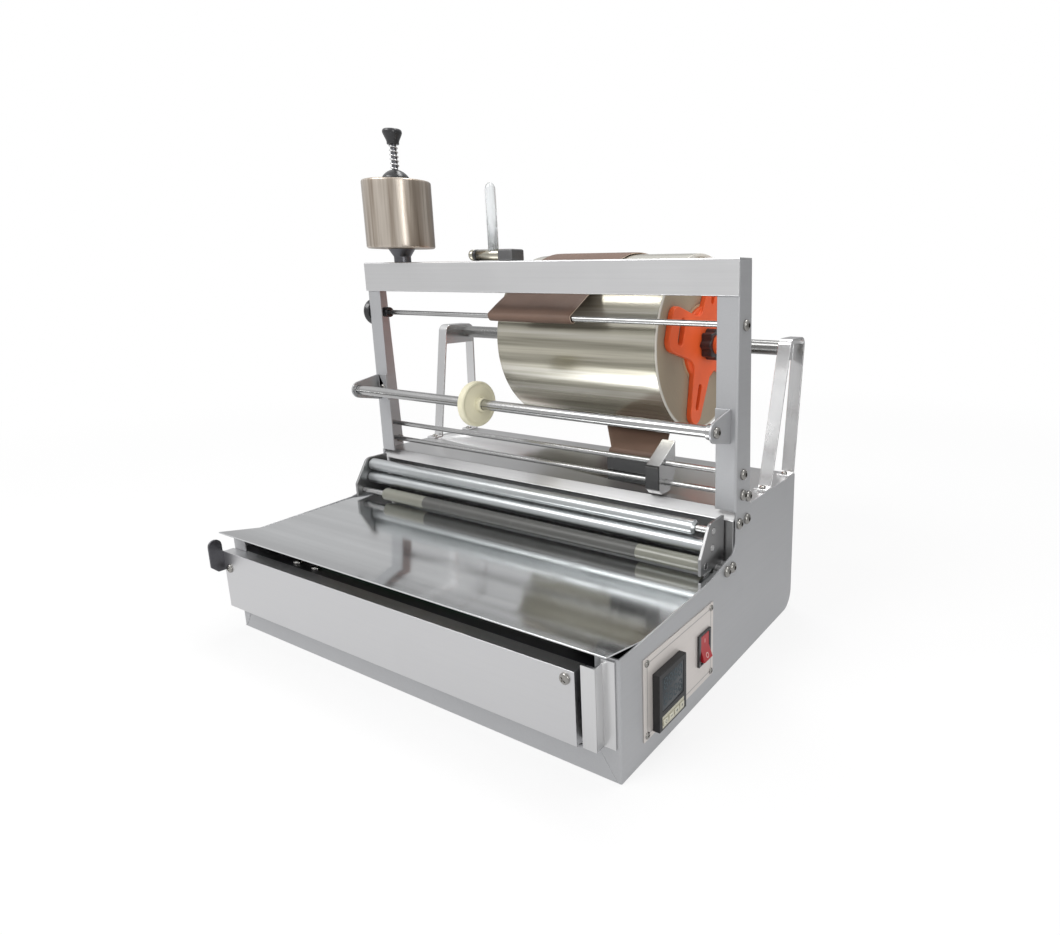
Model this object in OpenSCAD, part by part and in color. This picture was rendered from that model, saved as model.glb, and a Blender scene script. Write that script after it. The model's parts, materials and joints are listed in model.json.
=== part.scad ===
/* [Base] */
// Width over the two side panels
base_w = 450; // [400:1:520]
// Depth from the front posts to the back wall
base_d = 310; // [300:1:360]
// Height of the rear deck
deck_h = 142; // [138:1:160]
// Height of the table at the rollers
table_h = 97; // [94:1:100]
// Thickness of the folded sheet metal
sheet_t = 1.5; // [1:0.1:2]
// Radius of the lower rear corner
rear_r = 18; // [10:1:25]
// Width of the front posts
post_w = 20; // [16:1:24]
// Height of the front skirt
skirt_h = 25; // [20:1:30]

/* [Portal frame] */
// Height of the header's top face
frame_h = 350; // [340:1:370]
// Height of the header's front face
header_h = 30; // [24:1:34]
// Distance of the legs from the back wall
leg_in = 137; // [134:1:139]
// Width of a leg seen from the front
leg_w = 20; // [16:1:24]
// Depth of a leg at its top
leg_top_d = 22; // [20:1:24]
// Depth of a leg at the deck
leg_foot_d = 28; // [26:1:32]

/* [Work table] */
// Distance of the table's bend from the front
bend_back = 28; // [20:1:34]
// Drop of the table from the rollers to the bend
table_drop = 4; // [2:0.5:6]
// How far the heated lip reaches past the front
lip_out = 12; // [8:1:16]
// Rise of the heated lip above the bend
lip_rise = 8; // [6:1:12]
// Thickness of the table sheet
table_t = 1.2; // [1:0.1:1.5]

/* [Front cover] */
// How far the cover stands in front of the posts
cover_out = 10; // [8:1:12]
// Distance of the cover's top edge below the table's bend
cover_drop = 12; // [9:1:15]
// Gap from the cover's right end to the side panel's face
cover_gap_r = 29.5; // [28:0.5:34]
// Radius of a cover screw head
cover_head_r = 4.2; // [3.5:0.1:4.6]

/* [Rods] */
// Radius of the film guide rods
guide_r = 2.6; // [2:0.1:3]
// Distance of the upper guide rod below the header's top
upper_rod_drop = 53; // [48:1:60]
// Height of the upper tail rod above the deck
tail_rod_h = 30; // [28:1:34]
// Height of the lower tail rod above the deck
low_rod_h = 12; // [11:1:14]
// Distance of the guide rods behind the legs' front faces
rod_in = 12; // [10:1:13]
// Radius of the front rod
front_rod_r = 5; // [4:0.5:6]
// How far the front rod stands in front of the legs
front_rod_reach = 27; // [24:1:32]
// Height of the front rod above the deck
front_rod_h = 73; // [68:1:80]
// Radius of the nylon wheel
wheel_r = 22; // [18:1:24]
// Thickness of the nylon wheel's rim
wheel_w = 8; // [6:1:10]
// Place of the nylon wheel along the rod, from the middle
wheel_x = -41; // [-80:1:0]
// Radius of the black rod knob
rod_knob_r = 15; // [12:1:16]

/* [Film roll] */
// Radius of the full film roll
roll_r = 90; // [70:1:92]
// Length of the film roll
roll_w = 196; // [170:1:210]
// Place of the roll's middle across the machine
roll_x = 25; // [20:1:40]
// Outer radius of the cardboard core
core_r = 41; // [40:0.5:44]
// Wall of the cardboard core
core_t = 3; // [2:0.5:4]
// Radius of the fixed roll shaft
shaft_r = 7; // [6:0.5:8]
// Height of the shaft above the deck
shaft_h = 126; // [122:1:132]
// Distance of the shaft in front of the back wall
shaft_in = 10; // [6:1:14]
// Reach of the chuck's long arms
arm_long = 83; // [76:1:84]
// Reach of the chuck's wide arms
arm_wide = 74; // [66:1:78]
// Thickness of a chuck plate
chuck_t = 6; // [5:0.5:8]
// Radius of a hand nut
nut_r = 16; // [15:0.5:18]
// Thickness of a hand nut
nut_w = 12; // [10:1:14]

/* [Brake strap] */
// Width of the brake strap
strap_w = 104; // [90:1:108]
// Thickness of the brake strap
strap_t = 2; // [1.5:0.1:2.5]
// Width of the strap's tail
tail_w = 60; // [54:1:66]

/* [Rollers] */
// Radius of the three feed rollers
roller_r = 6.5; // [6:0.1:6.6]
// Radius of the axles they turn on
axle_r = 3; // [2.5:0.1:3.2]
// Length of a light sleeve of the lower roller
sleeve_w = 62; // [50:1:80]
// Thickness of a cheek plate
cheek_t = 3; // [2:0.5:3.5]

/* [Tape spool] */
// Radius of the tear tape spool
spool_r = 34; // [28:1:36]
// Height of the tear tape spool
spool_h = 68; // [60:1:72]
// Height of the gap that the coil spring fills
spring_h = 25; // [22:1:28]
// Turns of the coil spring
spring_turns = 5; // [4:1:6]
// Radius of the spring's wire
wire_r = 0.6; // [0.5:0.05:0.7]
// Place of the spindle across the machine
spindle_x = -177; // [-185:1:-165]

/* [Guide post] */
// Radius of the clear post
post_r = 5; // [4:0.5:5.5]
// Height of the clear post above its barrel
post_h = 67; // [60:1:74]
// Place of the post across the machine
post_x = -45; // [-60:1:-30]

/* [Controls] */
// Width of the control plate along the side
plate_w = 104; // [100:1:108]
// Distance of the control plate's top below the table's bend
plate_drop = 14; // [10:1:18]
// Distance of the control plate from the front
plate_back = 27; // [24:1:30]
// Height of the control plate's lower edge
plate_z = 15; // [12:1:18]
// Height of the temperature controller's bezel
ctrl_s = 45; // [42:1:48]
// Width of the temperature controller's bezel
ctrl_w = 38; // [35:1:42]

/* [Hidden] */
$fn = 48;

// Clearances and the overrun of every cut
fit = 0.3;
run = 0.08;
over = 2;

// Depths are measured from the front posts, heights from the floor
front_y = -base_d / 2;
side_x = base_w / 2;
inner_x = side_x - sheet_t;
bend_z = table_h - table_drop;
leg_back = base_d - leg_in;
cover_top = bend_z - cover_drop;
plate_h = bend_z - plate_z - plate_drop;
upper_rod_z = frame_h - upper_rod_drop;
tail_rod_z = deck_h + tail_rod_h;
low_rod_z = deck_h + low_rod_h;
rod_y = leg_back + rod_in;
front_rod_y = leg_back - front_rod_reach;
front_rod_z = deck_h + front_rod_h;
shaft_y = base_d - shaft_in;
shaft_z = deck_h + shaft_h;
leg_top = frame_h - sheet_t;
header_y = leg_back + leg_top_d / 2;

// Table and shoulder of the side panels
table_gap = 23;
table_end = leg_back - table_gap;
shoulder_rise = 8;
shoulder_run = 46;
leg_fillet = 9;
mitre_in = 3;
table_slope = table_drop / (table_end - bend_back);

// Pan head bolts that hold the frame
bolt_r = 2.5;
bolt_head_r = 4.8;
bolt_head_h = 3.6;
bolt_clear = 0.1;
nut_flat_r = 4.6;
nut_flat_h = 2.4;

// Screws of the cover, the brackets' feet and the small tab
screw_r = 1.9;
screw_head_h = 2.2;
foot_screw_r = 1.6;
foot_head_r = 3.2;

function arc(c, r, a0, a1, n = 8) =
    [for (i = [0 : n]) let (a = a0 + (a1 - a0) * i / n) c + r * [cos(a), sin(a)]];
function flip(v) = [for (i = [len(v) - 1 : -1 : 0]) v[i]];
function left_of(a, b) = [a[1] - b[1], b[0] - a[0]] / norm(b - a);
function bend_normals(p) = [for (i = [0 : len(p) - 1])
    let (n = left_of(p[max(i - 1, 0)], p[max(i, 1)]) + left_of(p[min(i, len(p) - 2)],
        p[min(i + 1, len(p) - 1)]))
    2 * n / (n * n)];
function shift(p, t) = let (n = bend_normals(p)) [for (i = [0 : len(p) - 1]) p[i] + t * n[i]];
// Outline of a folded sheet whose other face lies to the left of its path
function sheet(p, t) = concat(p, flip(shift(p, t)));
// Angle at which a straight run from p touches a circle round c
function tangent(p, c, r, s) = atan2(p[1] - c[1], p[0] - c[0]) + s * acos(r / norm(p - c));
function at_height(a, b, z) = a + (b - a) * (z - a[1]) / (b[1] - a[1]);

// An outline of depths and heights drawn out along the width
module along_x(x0, x1, pts) {
    translate([x0, front_y, 0]) rotate([90, 0, 90]) linear_extrude(x1 - x0) polygon(pts);
}

// An outline of widths and heights drawn out along the depth
module along_y(y0, y1, pts) {
    translate([0, front_y + y1, 0]) rotate([90, 0, 0]) linear_extrude(y1 - y0) polygon(pts);
}

module rod_x(x0, x1, y, z, r) {
    translate([x0, front_y + y, z]) rotate([0, 90, 0]) cylinder(h = x1 - x0, r = r);
}

module block(x0, x1, y0, y1, z0, z1) {
    translate([x0, front_y + y0, z0]) cube([x1 - x0, y1 - y0, z1 - z0]);
}

module both_sides() {
    children();
    mirror([1, 0, 0]) children();
}

// A domed head on the plane of the origin, pointing along +X, with a shank behind it
module pan_screw(head_r, head_h, r, length) {
    dome_r = 1.35 * head_r;
    rotate([0, 90, 0]) {
        intersection() {
            cylinder(h = head_h, r = head_r);
            translate([0, 0, head_h - dome_r]) sphere(r = dome_r);
        }
        translate([0, 0, -length]) cylinder(h = length + head_h / 2, r = r);
    }
}

// A closed skin over equal rings of points
module skin(rings) {
    m = len(rings[0]);
    last = len(rings) - 1;
    pts = [for (ring = rings) for (p = ring) p];
    sides = [for (i = [0 : last - 1]) for (j = [0 : m - 1]) let (k = (j + 1) % m)
        each [[i * m + j, i * m + k, (i + 1) * m + k], [i * m + j, (i + 1) * m + k, (i + 1) * m + j]]];
    ends = [for (j = [1 : m - 2]) each [[0, j + 1, j], [last * m, last * m + j, last * m + j + 1]]];
    polyhedron(points = pts, faces = concat(sides, ends));
}

function cross_ring(p, d, up, r, n) = let (u = cross(d, up) / norm(cross(d, up)), v = cross(u, d) / norm(d))
    [for (j = [0 : n - 1]) p + r * (cos(360 * j / n) * u + sin(360 * j / n) * v)];
// Rings of a round tube along points, kept square to a fixed direction
function tube_rings(p, up, r, n) = [for (i = [0 : len(p) - 1])
    let (d = p[min(i + 1, len(p) - 1)] - p[max(i - 1, 0)]) cross_ring(p[i], d, up, r, n)];

// Side panels
deck_bolt_drop = 12;
deck_bolt_in = 6;
deck_bolt_gap = 15;
foot_bolt_in = 23;
foot_bolt_up = 8;
lug_bolt_drop = 2;
lug_bolt_in = 6.5;
deck_bolts = [[leg_back + deck_bolt_in, deck_h - deck_bolt_drop],
    [leg_back + deck_bolt_in + deck_bolt_gap, deck_h - deck_bolt_drop]];
rod_bolts = [[rod_y, tail_rod_z], [rod_y, low_rod_z]];
foot_bolt = [leg_back + foot_bolt_in, deck_h + foot_bolt_up];
lug_bolts = [[table_end + lug_bolt_in, table_h - lug_bolt_drop],
    [leg_back - lug_bolt_in, table_h - lug_bolt_drop]];
side_bolts = concat(rod_bolts, deck_bolts, lug_bolts, [foot_bolt]);

// Front cover and what it is screwed to
cover_z = skirt_h;
cover_right = side_x - cover_gap_r;
cover_screw_drop_l = 16;
cover_screw_drop_r = 7;
cover_screw_in = 8;
left_screw = [-side_x + cover_screw_in, cover_top - cover_screw_drop_l];
right_screw = [cover_right - cover_screw_in, cover_top - cover_screw_drop_r];
bar_front = 3;
bar_d = 23;
bar_h = 14;
bar_top = cover_top - sheet_t;

// Tab at the left end and bracket at the right end
tab_t = 2;
tab_reach = 22;
tab_w = 12;
tab_up = 13;
tab_down = 19;
tab_hold_in = 7;
tab_hold_up = 8;
tab_top = cover_top + tab_up;
tab_low = cover_top - tab_down;
tab_hold = [tab_hold_in, tab_low + tab_hold_up];
bracket_face_w = 12;
bracket_web_in = 14;
bracket_up = 1;
bracket_drop = 5;
bracket_web_x = side_x - bracket_web_in;
bracket_low = skirt_h + bracket_up;
bracket_high = bend_z - bracket_drop;

// Control plate, controller and switch on the right panel
plate_t = 1;
plate_x = side_x + plate_t;
plate_screw_in = 4;
ctrl_in = 11;
ctrl_share = 0.16;
ctrl_proud = 6;
ctrl_edge = 2.5;
ctrl_depth = 70;
ctrl_y = plate_back + ctrl_in;
ctrl_z = plate_z + ctrl_share * (plate_h - ctrl_s);
switch_w = 20;
switch_h = 27;
switch_in = 17;
switch_lip = 2;
switch_y = plate_back + plate_w - switch_in;
switch_z = plate_z + plate_h / 2;

module plate_cuts(x0, x1) {
    block(x0, x1, ctrl_y + ctrl_edge - fit, ctrl_y + ctrl_w - ctrl_edge + fit,
        ctrl_z + ctrl_edge - fit, ctrl_z + ctrl_s - ctrl_edge + fit);
    block(x0, x1, switch_y - switch_w / 2 + switch_lip - fit, switch_y + switch_w / 2 - switch_lip + fit,
        switch_z - switch_h / 2 + switch_lip - fit, switch_z + switch_h / 2 - switch_lip + fit);
    for (y = [plate_back + plate_screw_in, plate_back + plate_w - plate_screw_in])
        for (z = [plate_z + plate_screw_in, plate_z + plate_h - plate_screw_in])
            rod_x(x0, x1, y, z, foot_screw_r + bolt_clear);
}

module side_panel() {
    outline = concat([[0, 0]], arc([base_d - rear_r, rear_r], rear_r, -90, 0),
        [[base_d, deck_h], [leg_back + leg_foot_d, deck_h], [leg_back + leg_top_d, leg_top],
            [leg_back, leg_top]],
        arc([leg_back - leg_fillet, table_h + shoulder_rise + leg_fillet], leg_fillet, 0, -90),
        [[leg_back - shoulder_run, table_h], [bend_back, bend_z], [0, bend_z]]);
    difference() {
        union() {
            along_x(inner_x, side_x, outline);
            along_y(0, sheet_t, [[side_x, 0], [side_x, bend_z], [side_x - post_w, bend_z],
                [side_x - post_w, skirt_h], [side_x - mitre_in, 0]]);
            block(side_x - leg_w, side_x, leg_back, leg_back + sheet_t, deck_h, leg_top);
        }
        for (b = side_bolts) rod_x(inner_x - over, side_x + over, b[0], b[1], bolt_r + bolt_clear);
        rod_x(inner_x - over, side_x + over, rod_y, upper_rod_z, bolt_r + bolt_clear);
        translate([arm_foot_x, front_y + leg_back - over, front_rod_z]) rotate([-90, 0, 0])
            cylinder(h = sheet_t + 2 * over, r = foot_screw_r + bolt_clear);
    }
}

module right_side_panel() {
    color("silver") difference() {
        side_panel();
        plate_cuts(inner_x - over, side_x + over);
    }
}

module left_side_panel() {
    color("silver") difference() {
        mirror([1, 0, 0]) side_panel();
        translate([left_screw[0], front_y - over, left_screw[1]]) rotate([-90, 0, 0])
            cylinder(h = sheet_t + 2 * over, r = screw_r + bolt_clear);
        rod_x(-side_x - over, -inner_x + over, tab_hold[0], tab_hold[1], foot_screw_r + bolt_clear);
    }
}

// Base tray: bottom, rear wall, front skirt and the hole for the cable gland
gland_x = 150;
gland_z = 32;
gland_r = 8;
module base_tray() {
    start = 2 * sheet_t;
    skirt_x = side_x - post_w - fit;
    path = concat([[start, 0]], arc([base_d - rear_r, rear_r], rear_r, -90, 0),
        [[base_d, deck_h - sheet_t]]);
    color("gainsboro") difference() {
        union() {
            along_x(-inner_x, inner_x, sheet(path, sheet_t));
            block(-skirt_x, skirt_x, 0, start + sheet_t, 0, sheet_t);
            along_y(0, sheet_t, [[-side_x + mitre_in + fit, 0], [side_x - mitre_in - fit, 0],
                [skirt_x, skirt_h], [-skirt_x, skirt_h]]);
        }
        translate([gland_x, front_y + base_d - sheet_t - over, gland_z]) rotate([-90, 0, 0])
            cylinder(h = sheet_t + 2 * over, r = gland_r + run);
    }
}

// Rear deck with its sloping front edge, front wall and side flanges
wall_gap = 2;
lip_drop = 8;
lip_d = 9;
wall_low = 5;
deck_flange_h = 22;
deck_flange_in = 12;
wall_y = leg_back - wall_gap;
module rear_deck() {
    path = [[wall_y, table_h - wall_low], [wall_y, deck_h - lip_drop], [wall_y + lip_d, deck_h],
        [base_d, deck_h]];
    color("silver") difference() {
        union() {
            along_x(-inner_x, inner_x, sheet(path, -sheet_t));
            both_sides() block(inner_x - sheet_t, inner_x, wall_y + deck_flange_in, base_d - deck_flange_in,
                deck_h - deck_flange_h, deck_h - sheet_t / 2);
        }
        for (s = [-1, 1]) for (b = deck_bolts) rod_x(s * inner_x - over, s * inner_x + over, b[0], b[1],
            bolt_r + bolt_clear);
        for (s = [-1, 1]) for (y = foot_screws) translate([s * foot_x, front_y + y,
            deck_h - sheet_t - over])
            cylinder(h = sheet_t + 2 * over, r = foot_screw_r + bolt_clear);
    }
}

// Work table with its raised heated lip, rear fold and side flanges
table_fold = 7;
table_flange = 8;
module work_table() {
    path = [[-lip_out, bend_z + lip_rise], [bend_back, bend_z], [table_end, table_h],
        [table_end, table_h - table_fold]];
    flange = [[bend_back, bend_z], [table_end, table_h], [table_end, table_h - table_flange],
        [bend_back, bend_z - table_flange]];
    color("lightgray") {
        along_x(-inner_x, inner_x, sheet(path, -table_t));
        both_sides() along_x(inner_x - table_t, inner_x, flange);
    }
}

module front_cover() {
    return_drop = 5;
    shelf = 2;
    path = [[-sheet_t, cover_z - return_drop], [-cover_out, cover_z], [-cover_out, cover_top],
        [-fit, cover_top]];
    cheek = [[-cover_out, cover_z], [-cover_out, cover_top], [-fit, cover_top], [-fit, cover_z]];
    color("silver") difference() {
        union() {
            along_x(-side_x, cover_right, sheet(path, -sheet_t));
            along_x(-side_x, -side_x + sheet_t, cheek);
            along_x(cover_right - sheet_t, cover_right, cheek);
            block(-side_x + post_w + fit, cover_right, -sheet_t, shelf, cover_top - sheet_t, cover_top);
        }
        for (p = [left_screw, right_screw]) translate([p[0], front_y - cover_out - over, p[1]])
            rotate([-90, 0, 0])
            cylinder(h = sheet_t + 2 * over, r = screw_r + bolt_clear);
    }
}

module front_screw(x, y, z, head_r, r, length) {
    translate([x, front_y + y, z]) rotate([0, 0, -90]) pan_screw(head_r, screw_head_h, r, length);
}

module cover_screws() {
    grip = 6;
    color("dimgray") {
        front_screw(left_screw[0], -cover_out, left_screw[1], cover_head_r, screw_r,
            cover_out + bar_front - fit);
        front_screw(right_screw[0], -cover_out, right_screw[1], cover_head_r, screw_r,
            cover_out + bar_front + grip);
        translate([-side_x - tab_t, front_y + tab_hold[0], tab_hold[1]]) mirror([1, 0, 0])
            pan_screw(foot_head_r, screw_head_h, foot_screw_r, tab_t + sheet_t);
    }
}

module left_end_tab() {
    mid = tab_reach - tab_w / 2;
    tail = 12;
    outline = concat(arc([-mid, tab_top - tab_w / 2], tab_w / 2, 180, 0), [[-mid + tab_w / 2, cover_top],
        [tail, tab_low + tab_w], [tail, tab_low], [-mid, tab_low], [-tab_reach, tab_low + tab_w / 2]]);
    color("dimgray") difference() {
        along_x(-side_x - tab_t, -side_x, outline);
        rod_x(-side_x - tab_t - over, -side_x + over, tab_hold[0], tab_hold[1], foot_screw_r + bolt_clear);
    }
}

module right_end_bracket() {
    rise = bend_z - sheet_t;
    color("lightgray") {
        block(bracket_web_x + sheet_t - bracket_face_w, bracket_web_x + sheet_t, -cover_out,
            sheet_t - cover_out, bracket_low, bracket_high);
        along_x(bracket_web_x, bracket_web_x + sheet_t, [[-cover_out, bracket_low], [0, bracket_low],
            [0, rise], [-cover_out, bracket_high]]);
        block(bracket_web_x, side_x - mitre_in, -sheet_t, 0, bracket_low, rise);
    }
}

// Cross bar behind the cover, with the two heater screws and their wires on it
heater_screw_share = [-0.62, -0.5];
heater_screw_in = 11;
bar_mid = bar_front + bar_d / 2;
heater_screw_x = [for (s = heater_screw_share) s * side_x];
module inner_crossbar() {
    path = [[bar_front + bar_d, bar_top - bar_h], [bar_front + bar_d, bar_top], [bar_front, bar_top],
        [bar_front, bar_top - bar_h]];
    color("dimgray") difference() {
        along_x(-inner_x, inner_x, sheet(path, sheet_t));
        translate([right_screw[0], front_y + bar_front - over, right_screw[1]]) rotate([-90, 0, 0])
            cylinder(h = sheet_t + 2 * over, r = screw_r + bolt_clear);
        for (x = heater_screw_x) translate([x, front_y + heater_screw_in, bar_top - sheet_t - over])
            cylinder(h = sheet_t + 2 * over, r = foot_screw_r + bolt_clear);
    }
}

module heater_screws() {
    color("lightgray") for (x = heater_screw_x) translate([x, front_y + heater_screw_in, bar_top])
        rotate([0, -90, 0]) pan_screw(bolt_head_r, bolt_head_h, foot_screw_r, 2 * sheet_t);
}

heater_front = 34;
heater_end = 38;
heater_rear = table_end - heater_end;
heater_t = 3;
pad_t = 5;
heater_in = 65;
function under_table(y, drop) = [y, bend_z + table_slope * (y - bend_back) - table_t - fit - drop];
module under_plate(x, d0, d1) {
    along_x(-x, x, [under_table(heater_front, d0), under_table(heater_rear, d0),
        under_table(heater_rear, d1), under_table(heater_front, d1)]);
}

module heater_plate() {
    color("gray") under_plate(side_x - heater_in, 0, heater_t);
}

module heater_insulation() {
    color("ivory") under_plate(side_x - heater_in, heater_t, heater_t + pad_t);
}

// Terminal block on the tray, and three wires from the heater screws down to it
block_x = 40;
block_y = 60;
block_w = 48;
block_d = 20;
block_h = 16;
ways = 3;
module terminal_block() {
    screw_d = 4;
    color("ivory") difference() {
        block(block_x, block_x + block_w, block_y, block_y + block_d, sheet_t, sheet_t + block_h);
        for (i = [0 : ways - 1]) translate([block_x + (i + 0.5) * block_w / ways,
            front_y + block_y + block_d / 2,
            sheet_t + block_h - screw_d]) cylinder(h = screw_d + over, r = screw_d / 2);
    }
}

wire_cover_r = 1.1;
module heater_wires() {
    gap = 3;
    side_in = 30;
    z = bar_top + fit + wire_cover_r;
    names = ["firebrick", "gold", "seagreen"];
    for (i = [0 : ways - 1]) {
        y = front_y + bar_mid + bar_d / 4 + (1 - i) * gap;
        x0 = heater_screw_x[0] + (i + 2) * 2 * gap;
        x1 = block_x + (i + 0.5) * block_w / ways;
        back = front_y + bar_front + bar_d + (i + 1) * gap;
        low = sheet_t + fit + wire_cover_r;
        route = [[x0, y, z], [x0 + side_in, y, z], [0, y, z + gap / 3], [x1 - side_in / 3, y, z],
            [x1, y + gap, z], [x1, back - gap / 3, z - gap / 3], [x1, back, z - gap],
                [x1, back, z - 2 * side_in / 3],
            [x1, back + gap, block_h + side_in / 2], [x1, (back + front_y + block_y) / 2,
                block_h / 2 + gap],
            [x1, front_y + block_y - gap, block_h / 2], [x1, front_y + block_y, block_h / 2]];
        color(names[i]) skin(tube_rings(route, [0.3, 0.2, 1], wire_cover_r, 8));
    }
}

// Control plate on the outer face of the right panel
module control_plate() {
    color("lightgray") difference() {
        block(side_x, plate_x, plate_back, plate_back + plate_w, plate_z, plate_z + plate_h);
        plate_cuts(side_x - over, plate_x + over);
    }
}

module plate_screws() {
    head_r = 2.6;
    head_h = 1.4;
    color("dimgray") for (y = [plate_back + plate_screw_in, plate_back + plate_w - plate_screw_in])
        for (z = [plate_z + plate_screw_in, plate_z + plate_h - plate_screw_in])
            translate([plate_x, front_y + y, z]) pan_screw(head_r, head_h, foot_screw_r,
                plate_t + 2 * sheet_t);
}

// Temperature controller: bezel, body behind the panel, display recess and four key pockets
keys = 4;
key_w = 6;
key_h = 4.4;
key_proud = 0.9;
key_travel = 0.8;
key_root = 1.6;
key_gap = 0.25;
key_up = 6;
key_pitch = (ctrl_w - 3 * ctrl_edge) / keys;
ctrl_face = plate_x + ctrl_proud;
function key_y(i) = ctrl_y + ctrl_w / 2 + (i - (keys - 1) / 2) * key_pitch;
module temperature_controller() {
    recess = 0.8;
    screen_in = 4;
    screen_low = 15;
    color("darkslategray") difference() {
        union() {
            block(plate_x, ctrl_face, ctrl_y, ctrl_y + ctrl_w, ctrl_z, ctrl_z + ctrl_s);
            block(plate_x - ctrl_depth, plate_x + ctrl_proud / 2, ctrl_y + ctrl_edge,
                ctrl_y + ctrl_w - ctrl_edge,
                ctrl_z + ctrl_edge, ctrl_z + ctrl_s - ctrl_edge);
        }
        block(ctrl_face - recess, ctrl_face + over, ctrl_y + screen_in, ctrl_y + ctrl_w - screen_in,
            ctrl_z + screen_low, ctrl_z + ctrl_s - screen_in);
        for (i = [0 : keys - 1]) block(ctrl_face - key_root - key_travel - key_gap, ctrl_face + over,
            key_y(i) - key_w / 2 - key_gap, key_y(i) + key_w / 2 + key_gap,
            ctrl_z + key_up - key_h / 2 - key_gap, ctrl_z + key_up + key_h / 2 + key_gap);
    }
}

module controller_key(i) {
    color("lightgray") block(ctrl_face - key_root, ctrl_face + key_proud, key_y(i) - key_w / 2,
        key_y(i) + key_w / 2,
        ctrl_z + key_up - key_h / 2, ctrl_z + key_up + key_h / 2);
}
module controller_key_1() { controller_key(0); }
module controller_key_2() { controller_key(1); }
module controller_key_3() { controller_key(2); }
module controller_key_4() { controller_key(3); }

// Rocker switch: the rocker turns on two short pins in the bezel's side walls
switch_body_d = 15;
switch_wall = 1;
rocker_axis_in = 1.5;
rocker_x = plate_x - rocker_axis_in;
rocker_tilt = 10;
rocker_end = 5;
rocker_end_in = 2.7;
rocker_half = switch_h / 2 - rocker_end_in;
pin_r = 1.2;
pin_h = 1.3;
rocker_gap = 0.3;
rocker_w = switch_w - 2 * switch_lip - 2 * switch_wall - 2 * rocker_gap;
module switch_bezel() {
    cavity_d = 4.6;
    reach = norm([rocker_end, rocker_half]) + rocker_gap;
    color("black") difference() {
        union() {
            block(plate_x, plate_x + switch_lip, switch_y - switch_w / 2, switch_y + switch_w / 2,
                switch_z - switch_h / 2, switch_z + switch_h / 2);
            block(plate_x - switch_body_d, plate_x + switch_lip / 2, switch_y - switch_w / 2 + switch_lip,
                switch_y + switch_w / 2 - switch_lip, switch_z - switch_h / 2 + switch_lip,
                switch_z + switch_h / 2 - switch_lip);
        }
        block(rocker_x - cavity_d, plate_x + switch_lip + over, switch_y - rocker_w / 2 - rocker_gap,
            switch_y + rocker_w / 2 + rocker_gap, switch_z - reach, switch_z + reach);
        translate([rocker_x, front_y + switch_y + rocker_w / 2 + pin_h + rocker_gap, switch_z])
            rotate([90, 0, 0])
            cylinder(h = rocker_w + 2 * (pin_h + rocker_gap), r = pin_r + run);
    }
}

module switch_rocker() {
    root_share = 0.6;
    valley_share = 0.62;
    neck_share = 0.5;
    rocker = [[-rocker_end * root_share, -rocker_half * neck_share],
        [-rocker_end * root_share, rocker_half * neck_share],
        [rocker_end * neck_share, rocker_half], [rocker_end, rocker_half], [rocker_end * valley_share, 0],
        [rocker_end, -rocker_half], [rocker_end * neck_share, -rocker_half]];
    color("red") translate([rocker_x, front_y + switch_y, switch_z]) rotate([0, -rocker_tilt, 0])
        rotate([90, 0, 0]) {
        translate([0, 0, -rocker_w / 2]) linear_extrude(rocker_w) polygon(rocker);
        translate([0, 0, -rocker_w / 2 - pin_h]) cylinder(h = rocker_w + 2 * pin_h, r = pin_r);
    }
}

module cable_gland() {
    flange_r = 12;
    outer_h = 14;
    cap_r = 9.5;
    flange_h = 5;
    inner_h = 12;
    bore = 4;
    back = front_y + base_d;
    color("black") difference() {
        union() {
            translate([gland_x, back - sheet_t - inner_h, gland_z]) rotate([-90, 0, 0])
                cylinder(h = inner_h + sheet_t + flange_h, r = gland_r);
            translate([gland_x, back, gland_z]) rotate([-90, 0, 0])
                cylinder(h = flange_h, r = flange_r, $fn = 6);
            translate([gland_x, back + flange_h, gland_z]) rotate([-90, 0, 0])
                cylinder(h = outer_h - flange_h, r1 = cap_r, r2 = bore + sheet_t);
            translate([gland_x, back - sheet_t - flange_h, gland_z]) rotate([-90, 0, 0])
                cylinder(h = flange_h, r = flange_r, $fn = 6);
        }
        translate([gland_x, back - sheet_t - inner_h - over, gland_z]) rotate([-90, 0, 0])
            cylinder(h = inner_h + sheet_t + outer_h + 2 * over, r = bore);
    }
}

// Header of the portal frame, with the holes for the spindle and the post's block
spindle_r = 3;
spindle_nut_r = 7;
spindle_nut_h = 5;
post_screw_in = 13;
block_len = 18;
block_gap = 1;
post_side = 12;
block_x0 = post_x + post_side + block_gap;
post_screw_x = block_x0 + post_screw_in;
header_front = leg_back - sheet_t;
module header_beam() {
    low = frame_h - header_h;
    rear = leg_back + leg_top_d;
    return_d = 8;
    color("silver") difference() {
        union() {
            along_x(-side_x, side_x, sheet([[header_front, low], [header_front, frame_h],
                [rear, frame_h]], -sheet_t));
            block(-inner_x, inner_x, rear - sheet_t, rear, low, frame_h - sheet_t / 2);
            block(-side_x + leg_w + fit, side_x - leg_w - fit, header_front, header_front + return_d,
                low, low + sheet_t);
        }
        for (x = [spindle_x, post_screw_x]) translate([x, front_y + header_y, frame_h - sheet_t - over])
            cylinder(h = sheet_t + 2 * over, r = spindle_r + bolt_clear);
    }
}

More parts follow.
